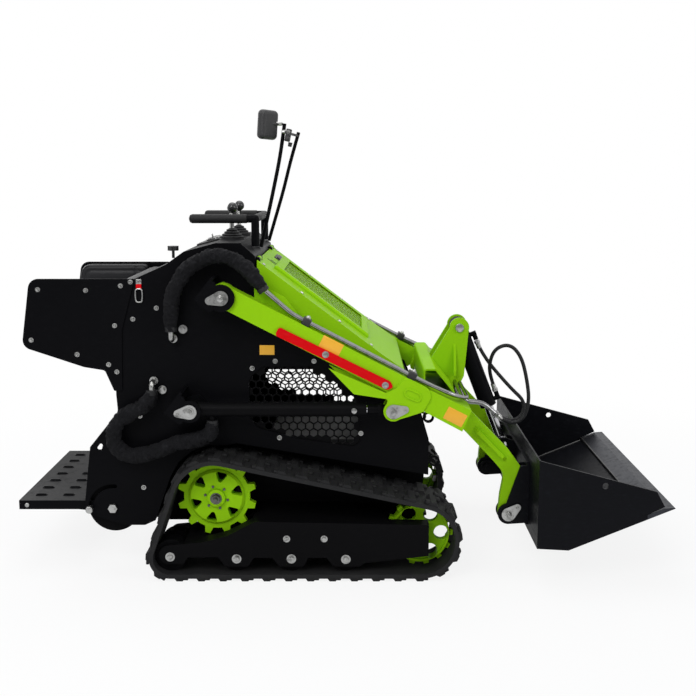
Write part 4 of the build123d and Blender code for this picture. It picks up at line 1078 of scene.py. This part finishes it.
@dataclass
class HoseWork:
    """Fabric hose sleeves on both sides and the two bare hoses of the tilt cylinder."""

    sleeve_radius: float = 0.028
    hose_radius: float = 0.007
    crumple: float = 0.0055
    swell_scale: float = 26.0
    fold_scale: Point = (62.0, 30.0, 62.0)
    end_share: float = 0.62
    collar: float = 0.0195

    def build(self) -> None:
        """Builds every hose and the fittings at its ends."""
        for hoses, sides, fabric, fitting, tail in (
            (SLEEVES, tuple(Side), True, Finish.HOSE, "sleeve_collars"),
            (BARE_HOSES, (Side.NEAR,), False, Finish.ZINC, "ferrules"),
        ):
            makers: dict[Body, Maker] = {}
            for hose in hoses:
                for side in sides:
                    points = metres(hose.route, side)
                    self._hose(hose, f"{hose.name}_{side.tag}" if fabric else hose.name, points, fabric)
                    ends = ((points[0], points[1]), (points[-1], points[-2]))
                    for body, (end, inner) in zip(hose.bodies, ends):
                        along = (Vector(inner) - Vector(end)).normalized()
                        self._fitting(makers.setdefault(body, Maker()), Vector(end), along, fabric)
            for body, maker in makers.items():
                maker.piece(f"{body.value}_{tail}", body, fitting)

    def _fitting(self, maker: Maker, end: Vector, along: Vector, fabric: bool) -> None:
        """Adds a sleeve's collar, or a bare hose's nut and ferrule.

        Args:
            maker: the shapes that it is added to.
            end: the hose's end.
            along: direction into the hose.
            fabric: whether the hose is a fabric sleeve.
        """
        turn = along.to_track_quat("Z", "Y").to_matrix()
        if fabric:
            maker.cone(end - along * 0.002, turn, self.collar, self.collar * 1.04, 0.017, 26, 0.002)
        else:
            maker.cone(end, turn, 0.0112, 0.0112, 0.011, 6, 0.0008)
            maker.cone(end + along * 0.010, turn, 0.0094, 0.0088, 0.022, 22, 0.0010)

    def _hose(self, hose: Hose, name: str, points: list[Point], fabric: bool) -> None:
        """Builds one hose, crumpled and tapered where it is a fabric sleeve.

        Args:
            hose: its values.
            name: the piece's name.
            points: its route in metres.
            fabric: whether it is a fabric sleeve.
        """
        radius = self.sleeve_radius if fabric else self.hose_radius
        if fabric:
            mesh = wire(name, points, radius - MM, ends=self.end_share, steps=22, facets=10)
        else:
            mesh = wire(name, points, radius, steps=22, facets=5)
        made = bmesh.new()
        made.from_mesh(mesh)
        bmesh.ops.recalc_face_normals(made, faces=made.faces)
        made.normal_update()
        for vert in made.verts if fabric else ():
            swell = noise.noise(vert.co * self.swell_scale)
            fold = abs(noise.noise(vert.co * Vector(self.fold_scale)))
            vert.co += vert.normal * (swell * 0.8 - fold * 1.6 + 0.3) * self.crumple
        made.to_mesh(mesh)
        made.free()
        piece = settle(name, mesh, None, Finish.SLEEVE if fabric else Finish.WRAP)
        path = [tuple(vert.co) for vert in wire(name + "_line", points, 0.0).vertices]
        2 * radius
        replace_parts(piece, hose.node)
        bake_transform(piece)


@dataclass
class RiderPads:
    """Upholstered pads: one inside each hip guard and one across the console's back."""

    side_inner: float = 0.317
    side_outer: float = 0.3547
    side_corners: tuple[Point, ...] = (
        (-1064, 1042, 40), (-794, 1042, 16), (-794, 770, 16), (-900, 772, 30), (-1092, 838, 40))
    side_channels: tuple[float, ...] = (-0.842,)
    back_depth: Pair = (-0.7363, -0.776)
    back_corners: tuple[Point, ...] = ((-312, 735, 26), (312, 735, 26), (312, 1036, 26), (-312, 1036, 26))
    back_channels: tuple[float, ...] = (-0.104, 0.104)
    voxel: float = 0.006
    edge: float = 0.014
    crown: float = 0.0075
    slope: float = 0.045
    seam: float = 0.026
    seam_width: float = 0.0042
    channel_width: float = 0.0048
    stitch: float = 0.0026
    crease: float = 0.0014
    crease_scale: float = 16.0
    crease_slice: float = 3.1
    welt: float = 0.0027
    welt_inset: float = 0.006
    welt_sink: float = 0.003

    def build(self) -> None:
        """Builds the three pads and their welts."""
        for side in Side:
            depth = (side.value * self.side_outer, side.value * self.side_inner)
            self._pad(f"hip_pad_{side.tag}", self._rim(self.side_corners), depth, True, self.side_channels)
        self._pad("back_pad", self._rim(self.back_corners), self.back_depth, False, self.back_channels)

    @staticmethod
    def _rim(corners: Sequence[Point]) -> list[Vector]:
        """Outline in metres with each corner rounded to its radius.

        Args:
            corners: two places and a radius in millimetres for each corner.

        Returns:
            The outline's points.
        """
        rim = []
        places = [Vector((a, b)) * MM for a, b, _ in corners]
        for index, here in enumerate(places):
            before = (places[index - 1] - here).normalized()
            after = (places[(index + 1) % len(places)] - here).normalized()
            half = math.acos(max(-1.0, min(1.0, before.dot(after)))) / 2
            radius = corners[index][2] * MM
            reach = radius / math.tan(half)
            middle = here + (before + after).normalized() * (radius / math.sin(half))
            start, end = here + before * reach - middle, here + after * reach - middle
            for step in range(7):
                rim.append(middle + start.lerp(end, step / 6).normalized() * radius)
        return rim

    def _pad(self, name: str, rim: list[Vector], depth: Pair, sideways: bool,
             channels: Sequence[float]) -> None:
        """Builds one crowned pad with its sewn channels and a welt.

        Args:
            name: the piece's name.
            rim: its outline.
            depth: where its back and its front lie.
            sideways: whether its front faces along Y, not X.
            channels: first coordinates of the sewn channels across it.
        """
        def place(a: float, b: float, c: float) -> Point:
            """Point in the frame from the outline's two places and the depth."""
            return (a, c, b) if sideways else (c, a, b)

        solid = Maker()
        solid.slab(*([place(point.x, point.y, level) for point in rim] for level in depth))
        final = evaluated(name + "_rough", solid.data(name), self.voxel)
        back, front = depth
        for vert in final.vertices:
            x, y, z = vert.co
            a, b, c = (x, z, y) if sideways else (y, z, x)
            share = max(0.0, min(1.0, (c - back) / (front - back)))
            rise = self._rise(Vector((a, b)), rim, channels)
            vert.co = place(a, b, c + share ** 2 * math.copysign(1.0, front - back) * rise)
        piece = settle(name, final, Body.CHASSIS, Finish.LEATHER)
        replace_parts(piece, "hip_pads")
        level = front + math.copysign(self.welt_sink, back - front)
        middle = sum(rim, Vector((0.0, 0.0))) / len(rim)
        points = []
        for before, here, after in zip(rim[-1:] + rim[:-1], rim, rim[1:] + rim[:1]):
            along = (after - before).normalized()
            inward = Vector((-along.y, along.x))
            if (middle - here).dot(inward) < 0:
                inward.negate()
            points.append(place(*(here + inward * self.welt_inset), level))
        bead(name + "_welt", points, self.welt, Body.CHASSIS, Finish.LEATHER, closed=True)

    def _rise(self, point: Vector, rim: Sequence[Vector], channels: Sequence[float]) -> float:
        """How far the front swells at a point, less its round edge and its sewing.

        Args:
            point: the point.
            rim: the outline.
            channels: first coordinates of the sewn channels.

        Returns:
            The rise.
        """
        near = 1.0
        for here, after in zip(rim, [*rim[1:], rim[0]]):
            run = after - here
            share = max(0.0, min(1.0, (point - here).dot(run) / run.length_squared))
            near = min(near, (point - here - run * share).length)
        dip = self.edge - math.sqrt(max(0.0, self.edge ** 2 - max(0.0, self.edge - near) ** 2))
        sewn = max(math.exp(-((near - self.seam) / self.seam_width) ** 2),
                   *(math.exp(-((point.x - channel) / self.channel_width) ** 2) for channel in channels))
        crease = noise.noise(Vector((*(point * self.crease_scale), self.crease_slice))) * self.crease
        return self.crown * (1 - math.exp(-near / self.slope)) + crease - dip - sewn * self.stitch


@dataclass
class BodyTrim:
    """Screws, plates and small hardware on the body."""

    plate_face: float = 0.355
    wing_face: float = 0.361
    frame_face: float = 0.470
    wing_bolts: tuple[Pair, ...] = (
        (-1044, 1013), (-878, 1010), (-757, 1026), (-722, 1040), (-1075, 836), (-917, 785), (-782, 887),
        (-808, 749), (-780, 723))
    plate_bolts: tuple[Pair, ...] = (
        (-719, 909), (-636, 948), (-706, 563), (-701, 301), (-306, 735), (-89, 760), (-225, 760), (76, 500),
        (-213, 484))
    frame_bolts: tuple[Point, ...] = (
        (-593, 84, 9.5), (-360, 77, 9.5), (-168, 77, 9.5), (23, 75, 9.5), (-184, 150, 7), (-53, 150, 7))
    label: tuple[float, ...] = (-0.253, 0.800, 0.052, 0.034)
    hub: Point = (-0.435, 0.416, 0.279)
    hub_bolts: int = 6
    hub_turn: float = 47.0
    hub_step: float = 0.0152
    hub_bolt: float = 0.0045
    hub_bolt_radius: float = 0.0405
    keeper_face: float = 0.493
    keepers: tuple[Point, ...] = ((-395, 997, 192), (-510, 607, 187))
    hook: Point = (-0.694, -0.3615, 0.993)
    hook_size: Pair = (0.012, 0.023)
    hook_radius: float = 0.0027
    hook_oval: tuple[Pair, ...] = (
        (0, 1), (0.9, 0.9), (1, 0.3), (1, -0.4), (0.8, -1), (0, -1.05), (-0.8, -1), (-1, -0.4), (-1, 0.3),
        (-0.9, 0.9))
    shroud: Point = (-0.813, 0.3262, 0.225)
    shroud_radius: float = 0.094
    shroud_depth: float = 0.003
    mirror_clamp: Point = (-0.190, -0.047, 1.548)
    mirror_ball: Point = (-0.2315, -0.0535, 1.5895)

    def build(self) -> None:
        """Builds the trim."""
        bolts, labels, shrouds = Maker(), Maker(), Maker()
        x, z, wide, high = self.label
        for side in Side:
            for places, face in ((self.wing_bolts, self.wing_face), (self.plate_bolts, self.plate_face)):
                for across, up in places:
                    bolts.button(side.at(across * MM, face, up * MM), side.out)
            for across, up, size in self.frame_bolts:
                bolts.bolt(across * MM, self.frame_face, up * MM, side, size * MM)
            labels.box(side.at(x, self.plate_face + LABEL_LIFT, z), (wide, LABEL_THICK, high), None,
                       LABEL_EDGE)
            shrouds.cone(side.at(*self.shroud), side.out, self.shroud_radius, self.shroud_radius,
                         self.shroud_depth, 56)
        pins, hubs = self._nuts()
        bolts.piece("body_bolts", Body.CHASSIS, Finish.ZINC)
        hubs.piece("hub_nuts", Body.CHASSIS, Finish.NUT)
        labels.piece("body_labels", Body.CHASSIS, Finish.LABEL)
        pins.piece("keeper_bolts", Body.CHASSIS, Finish.ZINC)
        self._snap_hook()
        self._mirror_clamp()
        shrouds.piece("step_shrouds", Body.CHASSIS, Finish.FRAME)

    def _nuts(self) -> tuple[Maker, Maker]:
        """Shapes the nuts and bolts of the rear pins and of the sprocket hubs.

        Returns:
            The shapes on the pins and those on the hubs.
        """
        pins, hubs = Maker(), Maker()
        x, y, z = self.hub
        for side in Side:
            for across, up, tail in self.keepers:
                pins.pin_bolts(across * MM, self.keeper_face, up * MM, tail, side)
            hubs.cone(side.at(x, y, z), side.out, 0.0205, 0.0205, 0.003, 28)
            hubs.cone(side.at(x, y + 0.0025, z), side.out, 0.0165, 0.0165, 0.012, 6, 0.0015)
            hubs.cone(side.at(x, y + 0.014, z), side.out, 0.0095, 0.0085, 0.012, 20, 0.001)
            for index in range(self.hub_bolts):
                angle = math.radians(index * 360 / self.hub_bolts + self.hub_turn)
                hubs.bolt(x + self.hub_bolt_radius * math.cos(angle), y - self.hub_step,
                          z + self.hub_bolt_radius * math.sin(angle), side, self.hub_bolt, False)
        return pins, hubs

    def _snap_hook(self) -> None:
        """Builds the lanyard's snap hook and its tags on the near side."""
        x, y, z = self.hook
        wide, high = self.hook_size
        ring = [(x + a * wide, y, z + b * high) for a, b in self.hook_oval]
        bead("snap_hook", ring, self.hook_radius, Body.CHASSIS, Finish.ZINC, closed=True)
        tag, eye = Maker(), Maker()
        tag.box((x, y + 0.001, z + 0.031), (0.019, 0.003, 0.015), None, 0.001)
        eye.box((x, y + 0.003, z + 0.047), (0.019, 0.003, 0.017), None, 0.001)
        eye.button((x, y + 0.0015, z + 0.049), Side.NEAR.out, 0.004)
        tag.piece("hook_tag", Body.CHASSIS, Finish.RED)
        eye.piece("hook_eye", Body.CHASSIS, Finish.ZINC)

    def _mirror_clamp(self) -> None:
        """Builds the clamp block, its knobs and the ball joint at the top of the mirror's post."""
        block, metal = Maker(), Maker()
        x, y, z = self.mirror_clamp

        def turned(degrees: float) -> Matrix:
            """Rotation about the Y axis."""
            return Matrix.Rotation(math.radians(degrees), 3, "Y")

        block.box((x, y, z), (0.020, 0.026, 0.046), turned(12), 0.003)
        block.cone((x - 0.001, y - 0.012, z - 0.014), Side.NEAR.out, 0.010, 0.009, 0.016, 12, 0.002)
        block.cone((x + 0.008, y, z - 0.026), turned(192), 0.008, 0.007, 0.016, 12, 0.002)
        metal.button((x + 0.002, y - 0.013, z + 0.012), Side.NEAR.out, 0.005)
        metal.cone((x - 0.012, y, z + 0.012), turned(-90), 0.0085, 0.0085, 0.010, 20, 0.001)
        metal.cone(self.mirror_ball, turned(90), 0.0078, 0.0078, 0.020, 20, 0.003)
        block.piece("mirror_clamp", Body.CHASSIS, Finish.SHELL)
        metal.piece("mirror_joint", Body.CHASSIS, Finish.ZINC)


@dataclass
class BoomTrim:
    """Bolts, labels, pipe clamps and weld beads of the boom."""

    arm_face: float = 0.471
    bar_face: float = 0.4793
    slope: float = 0.516
    bar_bolts: tuple[Pair, ...] = ((-45, 805), (158, 699))
    bar_bolt: float = 0.0066
    labels: tuple[tuple[float, ...], ...] = ((-26, 834, 76, 44), (398, 587, 72, 46))
    tilt_pin: Point = (0.450, 0.0625, 0.835)
    pivot_x: float = -0.395
    arm_top: float = 1.046
    clamp_xs: tuple[float, ...] = (-0.110, 0.250)
    clamp: Point = (0.0296, 0.0436, 0.0256)
    clamp_rise: float = 0.0138
    pipe_y: float = 0.443
    knee: Pair = (0.186, 0.607)
    knee_face: float = 0.488
    knee_tail: float = 9.9333
    knee_drop: float = 0.0032
    knee_line: tuple[Pair, ...] = (
        (198, 690), (212, 706), (227, 722), (262, 705), (308, 681), (314, 655), (300, 630), (286, 605))
    plug: tuple[float, ...] = (0.252, 0.664, 0.030, 0.015)
    plug_face: float = 0.4795
    weld: float = 0.0042
    plug_weld: float = 0.0040

    def build(self) -> None:
        """Builds the trim."""
        bolts, clamps, plates = Maker(), Maker(), Maker()
        lean = Matrix.Rotation(math.atan(self.slope), 3, "Y")
        for side in Side:
            for x, z in self.bar_bolts:
                bolts.bolt(x * MM, self.bar_face, z * MM, side, self.bar_bolt)
            bolts.pin_bolts(self.knee[0], self.knee_face, self.knee[1], self.knee_tail, side,
                            drop=self.knee_drop)
            bolts.cone(side.at(*self.tilt_pin), side.out, 0.0165, 0.0155, 0.004, 30, 0.001)
            for x in self.clamp_xs:
                z = self.arm_top - self.slope * (x - self.pivot_x) + self.clamp_rise
                centre = Vector(side.at(x, self.pipe_y, z))
                clamps.box(centre, self.clamp, lean, 0.0016)
                bolts.castle_nut(centre + lean @ Vector((0, 0, self.clamp[2] / 2)), lean, 0.0078)
            for x, z, wide, high in self.labels:
                plates.box(side.at(x * MM, self.arm_face + LABEL_LIFT, z * MM),
                           (wide * MM, LABEL_THICK, high * MM), lean, LABEL_EDGE)
        clamps.piece("pipe_clamps", Body.BOOM, Finish.SHELL)
        bolts.piece("boom_bolts", Body.BOOM, Finish.ZINC)
        for side in Side:
            self._welds(side)
        plates.piece("arm_labels", Body.BOOM, Finish.LABEL)

    def _welds(self, side: Side) -> None:
        """Lays the weld beads round one knee plate and its plug weld."""
        x, z, long, half = self.plug
        line = [side.at(a * MM, self.arm_face + 0.0005, b * MM) for a, b in self.knee_line]
        bead(f"knee_weld_{side.tag}", line, self.weld, Body.BOOM, Finish.LIME)
        lean = math.atan(self.slope)
        cos, sin = math.cos(lean), math.sin(lean)
        ring = [side.at(x + reach * cos + rise * sin, self.plug_face, z - reach * sin + rise * cos)
                for reach, rise in oval(long, half, 12)]
        bead(f"plug_weld_{side.tag}", ring, self.plug_weld, Body.BOOM, Finish.LIME, closed=True)


@dataclass
class BucketTrim:
    """Weld beads inside the bucket and bolts on the coupler's keepers."""

    inner: float = 0.5262
    profile: tuple[Pair, ...] = (
        (0.689, 0.440), (0.689, 0.300), (0.689, 0.152), (0.700, 0.142), (0.780, 0.139), (0.800, 0.143),
        (0.920, 0.193), (1.050, 0.247))
    edge_seam: Pair = (1.0545, 0.2592)
    weld: float = 0.0032
    edge_weld: float = 0.0030
    nut: float = 0.0115
    pin: Point = (0.608, 0.351, 0.199)
    keeper_tail: float = 40.0
    keeper_depth: float = 0.002

    def build(self) -> None:
        """Builds the beads and bolts."""
        x, y, z = self.pin
        nuts = Maker()
        for side in Side:
            line = [side.at(along, self.inner, up) for along, up in self.profile]
            bead(f"bucket_weld_{side.tag}", line, self.weld, Body.BUCKET, Finish.WELD)
            nuts.teardrop(side.at(x, y, z), self.keeper_tail, side)
            nuts.pin_bolts(x, y + self.keeper_depth, z, self.keeper_tail, side, self.nut, 0.0)
        along, up = self.edge_seam
        line = [(along, across, up) for across in (-self.inner, -0.2, 0.2, self.inner)]
        bead("edge_weld", line, self.edge_weld, Body.BUCKET, Finish.WELD)
        nuts.piece("coupler_bolts", Body.BUCKET, Finish.ZINC)


@dataclass
class StepTrim:
    """Raised grip rings round the step's oval holes, and the bolts in its ends."""

    rear: float = -1.154
    top: float = 0.2493
    rows: Pair = (0.062, 0.162)
    columns: int = 7
    pitch: float = 0.092
    half_long: float = 0.0205
    half_wide: float = 0.0100
    ring_radius: float = 0.0022
    end_inset: float = 0.028
    end_drop: float = 0.018
    end_face: float = 0.343

    def build(self) -> None:
        """Builds the rings and bolts."""
        rings, ends = Maker(), Maker()
        for row in self.rows:
            for column in range(self.columns):
                x, y = self.rear + row, (column - self.columns // 2) * self.pitch
                ring = [(x + a, y + b, self.top) for a, b in oval(self.half_long, self.half_wide, 10)]
                bar = wire("grip_ring", ring, self.ring_radius, closed=True, steps=4, facets=2)
                rings.mesh.from_mesh(bar)
        for side in Side:
            foot = side.at(self.rear + self.end_inset, self.end_face, self.top - self.end_drop)
            ends.cone(foot, side.out, 0.0085, 0.0070, 0.0030, 20, 0.0008)
        rings.piece("grip_rings", Body.STEP, Finish.BLACK)
        ends.piece("step_bolts", Body.STEP, Finish.ZINC)


@dataclass
class TreadWork:
    """Spurs that turn the tracks' plain blocks into stepped lugs."""

    wheels: tuple[Point, ...] = (
        (-0.593, 0.0833, 0.0723), (0.285, 0.1453, 0.1343), (-0.435, 0.279, 0.1553))
    lugs: int = 34
    outer: float = 0.490
    width: float = 0.230
    reach: float = 0.104
    edge: float = 0.003
    spur: Point = (0.0105, 0.034, 0.019)
    spurs: tuple[tuple[int, float], ...] = ((1, 0.020), (-1, 0.084))
    offset: float = 0.0195
    sink: float = 0.0015
    spur_edge: float = 0.0022
    lags: Pair = (0.25, 0.75)

    def build(self) -> None:
        """Builds the spurs."""
        runs = self._runs()
        pitch = sum(run[0] for run in runs) / self.lugs
        inner = self.outer - self.width + self.edge + self.reach
        rows = tuple(zip((self.outer - self.edge, inner), self.lags))
        spurs = Maker()
        for side in Side:
            for outside, lag in rows:
                for index in range(self.lugs):
                    x, z, angle = self._station(runs, (index + lag) * pitch)
                    turn = Matrix.Rotation(-angle, 3, "Y")
                    for way, across in self.spurs:
                        away = turn @ Vector((self.spur[0] / 2 - self.sink, 0, way * self.offset))
                        spurs.box(Vector(side.at(x, outside - across, z)) + away, self.spur, turn,
                                  self.spur_edge)
        spurs.piece("tread_spurs", Body.CHASSIS, Finish.TRACK)

    def _runs(self) -> list[tuple[float, Point, float, float]]:
        """Runs of the belt's outer face: length, wheel, first normal and turn."""
        normals, runs = [], []
        following = self.wheels[1:] + self.wheels[:1]
        for here, after in zip(self.wheels, following):
            span = math.dist(here[:2], after[:2])
            heading = math.atan2(after[1] - here[1], after[0] - here[0])
            normals.append((heading - math.acos((here[2] - after[2]) / span), span))
        for index, (wheel, after) in enumerate(zip(self.wheels, following)):
            normal, span = normals[index]
            before = normals[index - 1][0]
            turn = (normal - before) % (2 * math.pi)
            runs.append((wheel[2] * turn, wheel, before, turn))
            runs.append((math.sqrt(span ** 2 - (wheel[2] - after[2]) ** 2), wheel, normal, 0.0))
        return runs

    @staticmethod
    def _station(runs: Sequence[tuple[float, Point, float, float]], distance: float) -> Point:
        """Place and outward angle a distance along the belt.

        Args:
            runs: the belt's runs.
            distance: how far along.

        Returns:
            x, z and the angle.
        """
        for length, wheel, normal, turn in runs:
            if distance <= length:
                break
            distance -= length
        angle = normal + (turn * distance / length if turn else 0.0)
        x = wheel[0] + wheel[2] * math.cos(angle)
        z = wheel[1] + wheel[2] * math.sin(angle)
        if not turn:
            x -= distance * math.sin(angle)
            z += distance * math.cos(angle)
        return x, z, angle


@dataclass
class CylinderTrim:
    """Rod shanks and port plugs of the lift cylinders."""

    middle: float = 0.441
    height: float = 0.607
    shank: Pair = (0.0975, 0.159)
    shank_radius: float = 0.0172
    collar_step: float = 0.036
    plug_x: float = 0.052
    port_step: float = 0.0065
    barrel_radius: float = 0.025

    def build(self) -> None:
        """Builds the trim."""
        shanks, plugs = Maker(), Maker()
        along = Matrix.Rotation(math.pi / 2, 3, "Y")
        start, end = self.shank
        foot = self.middle + self.barrel_radius - 0.002
        rods = ((start, self.shank_radius, end - start, 32, 0.002),
                (start + self.collar_step, 0.0215, 0.015, 6, 0.001))
        ports = ((foot, 0.0095, 0.007, 24, 0.001), (foot + self.port_step, 0.0085, 0.008, 6, 0.0008))
        for side in Side:
            for x, radius, *rest in rods:
                shanks.cone(side.at(x, self.middle, self.height), along, radius, radius, *rest)
            for y, radius, *rest in ports:
                plugs.cone(side.at(self.plug_x, y, self.height), side.out, radius, radius, *rest)
        shanks.piece("rod_shanks", Body.LIFT_ROD, Finish.FRAME)
        plugs.piece("port_plugs", Body.LIFT_BARREL, Finish.ZINC)


@dataclass
class HoodTrim:
    """Screws along the hood's edges, its paddle latch and two louvre strips."""

    rows: tuple[float, ...] = (-0.245, -0.080, 0.085, 0.225)
    half: float = 0.329
    screw: float = 0.0056
    latch_edge: float = 0.0012
    latch_parts: tuple[tuple[Point, Point], ...] = (
        ((-0.214, 0.140, 0.0008), (0.044, 0.150, 0.0030)),
        ((-0.214, 0.140, 0.0040), (0.026, 0.120, 0.0050)),
        ((-0.213, -0.075, 0.0004), (0.052, 0.009, 0.0012)),
        ((-0.213, -0.110, 0.0004), (0.074, 0.009, 0.0012)))

    def build(self) -> None:
        """Builds the screws and the latch."""
        turn = Matrix.Rotation(math.radians(HOOD_LEAN), 3, "Y")
        screws, latch = Maker(), Maker()
        for row in self.rows:
            for side in Side:
                at = Vector(HOOD_CENTRE) + turn @ Vector(side.at(row, self.half, 0.0002))
                screws.button(at, turn, self.screw)
        for place, size in self.latch_parts:
            latch.box(Vector(HOOD_CENTRE) + turn @ Vector(place), size, turn, self.latch_edge)
        screws.piece("hood_screws", Body.HOOD, Finish.ZINC)
        latch.piece("hood_latch", Body.HOOD, Finish.SHELL)


@dataclass
class ControlStation:
    """Lever bellows, bar grips and the switch panel between the grab bars."""

    lever_x: float = -0.395
    lever_y: float = 0.120
    foot: float = 1.1733
    height: float = 0.040
    base: float = 0.046
    neck: float = 0.013
    folds: int = 4
    ridge: float = 0.0035
    groove: float = 0.002
    lip: float = 0.004
    cap: float = 0.002
    grip_at: Point = (-0.332, 0.200, 1.250)
    grip_radius: float = 0.0163
    grip_length: float = 0.206
    panel_at: Point = (-0.486, 0.0, 1.1572)
    panel_lean: float = 15.1

    def build(self) -> None:
        """Builds the bellows, the levers' stems, the grips and the panel."""
        boots, stems, grips = Maker(), Maker(), Maker()
        back = Matrix.Rotation(-math.pi / 2, 3, "Y")
        for side in Side:
            self._bellows(boots.mesh, side)
            stems.cone(side.at(self.lever_x, self.lever_y, self.foot + self.height), Matrix.Identity(3),
                       0.0085, 0.0080, 0.052, 18, 0.0008)
            grips.cone(side.at(*self.grip_at), back, self.grip_radius, self.grip_radius, self.grip_length,
                       28, 0.0115)
        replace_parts(boots.piece("lever_bellows", Body.CHASSIS, Finish.BOOT), "lever_boots")
        stems.piece("lever_stems", Body.CHASSIS, Finish.ZINC)
        grips.piece("bar_grips", Body.CHASSIS, Finish.BOOT)
        self._panel()

    def _panel(self) -> None:
        """Builds the switch panel between the levers, with switches, key and gauge."""
        turn = Matrix.Rotation(-math.radians(self.panel_lean), 3, "Y")

        def spot(along: float, across: float, up: float) -> Vector:
            """Point on the panel."""
            return Vector(self.panel_at) + turn @ Vector((along, across, up))

        plate, switches, metal, dial = Maker(), Maker(), Maker(), Maker()
        plate.box(spot(0, 0, 0.003), (0.086, 0.196, 0.0065), turn, 0.002)
        for across in (-0.074, -0.049, -0.024):
            switches.box(spot(0.012, across, 0.0082), (0.034, 0.019, 0.005), turn, 0.0016)
            switches.box(spot(0.006, across, 0.0108), (0.015, 0.015, 0.0045), turn, 0.0016)
        switches.box(spot(0.010, 0.060, 0.0142), (0.017, 0.0016, 0.0010), turn, 0.0002)
        metal.cone(spot(0.008, 0.008, 0.006), turn, 0.0115, 0.0105, 0.006, 24, 0.001)
        metal.box(spot(0.008, 0.008, 0.018), (0.004, 0.017, 0.018), turn, 0.0012)
        metal.cone(spot(0.004, 0.056, 0.006), turn, 0.0285, 0.0265, 0.007, 36, 0.0012)
        for along in (-0.030, 0.030):
            for across in (-0.087, 0.087):
                metal.button(spot(along, across, 0.0062), turn, 0.0036)
        dial.cone(spot(0.004, 0.056, 0.0128), turn, 0.0235, 0.0235, 0.0009, 36)
        plate.piece("switch_plate", Body.CHASSIS, Finish.SHELL)
        switches.piece("switches", Body.CHASSIS, Finish.KNOB)
        metal.piece("panel_metal", Body.CHASSIS, Finish.ZINC)
        dial.piece("gauge_dial", Body.CHASSIS, Finish.DIAL)

    def _bellows(self, mesh: bmesh.types.BMesh, side: Side) -> None:
        """Spins one folded rubber boot.

        Args:
            mesh: the mesh that it is added to.
            side: side of the machine.
        """
        steps = self.folds * 2
        line = [mesh.verts.new((self.base, 0, 0))]
        for index in range(steps + 1):
            share = index / steps
            fold = self.ridge if index % 2 else -self.groove
            radius = self.base + (self.neck - self.base) * share + fold
            height = self.lip + share * (self.height - self.lip - self.cap)
            line.append(mesh.verts.new((max(radius, self.neck * 0.8), 0, height)))
        line.append(mesh.verts.new((self.neck * 0.7, 0, self.height)))
        edges = [mesh.edges.new(pair) for pair in zip(line, line[1:])]
        before = {vert for vert in mesh.verts if vert not in line}
        bmesh.ops.spin(mesh, geom=line + edges, cent=(0, 0, 0), axis=(0, 0, 1), angle=2 * math.pi, steps=32,
                       use_merge=True)
        fresh = {vert for vert in mesh.verts if vert not in before}
        rims = [edge for edge in mesh.edges if edge.is_boundary and edge.verts[0] in fresh]
        bmesh.ops.holes_fill(mesh, edges=rims, sides=0)
        bmesh.ops.translate(mesh, verts=list(fresh), vec=side.at(self.lever_x, self.lever_y, self.foot))


def build_all() -> None:
    """Builds the studio, the finishes and every piece in order."""
    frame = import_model()
    Studio().build()
    HoseWork().build()
    dress_frame(frame["nodes"])
    for assembly in (RiderPads, BodyTrim, BoomTrim, BucketTrim, StepTrim, HoodTrim, TreadWork, CylinderTrim,
                     ControlStation):
        assembly().build()
        LOG.info("%s built", assembly.__name__)


def main() -> None:
    """Sets up logging and builds the scene."""
    logging.basicConfig(level=logging.INFO, format="%(name)s: %(message)s")
    build_all()


if __name__ == "__main__":
    main()
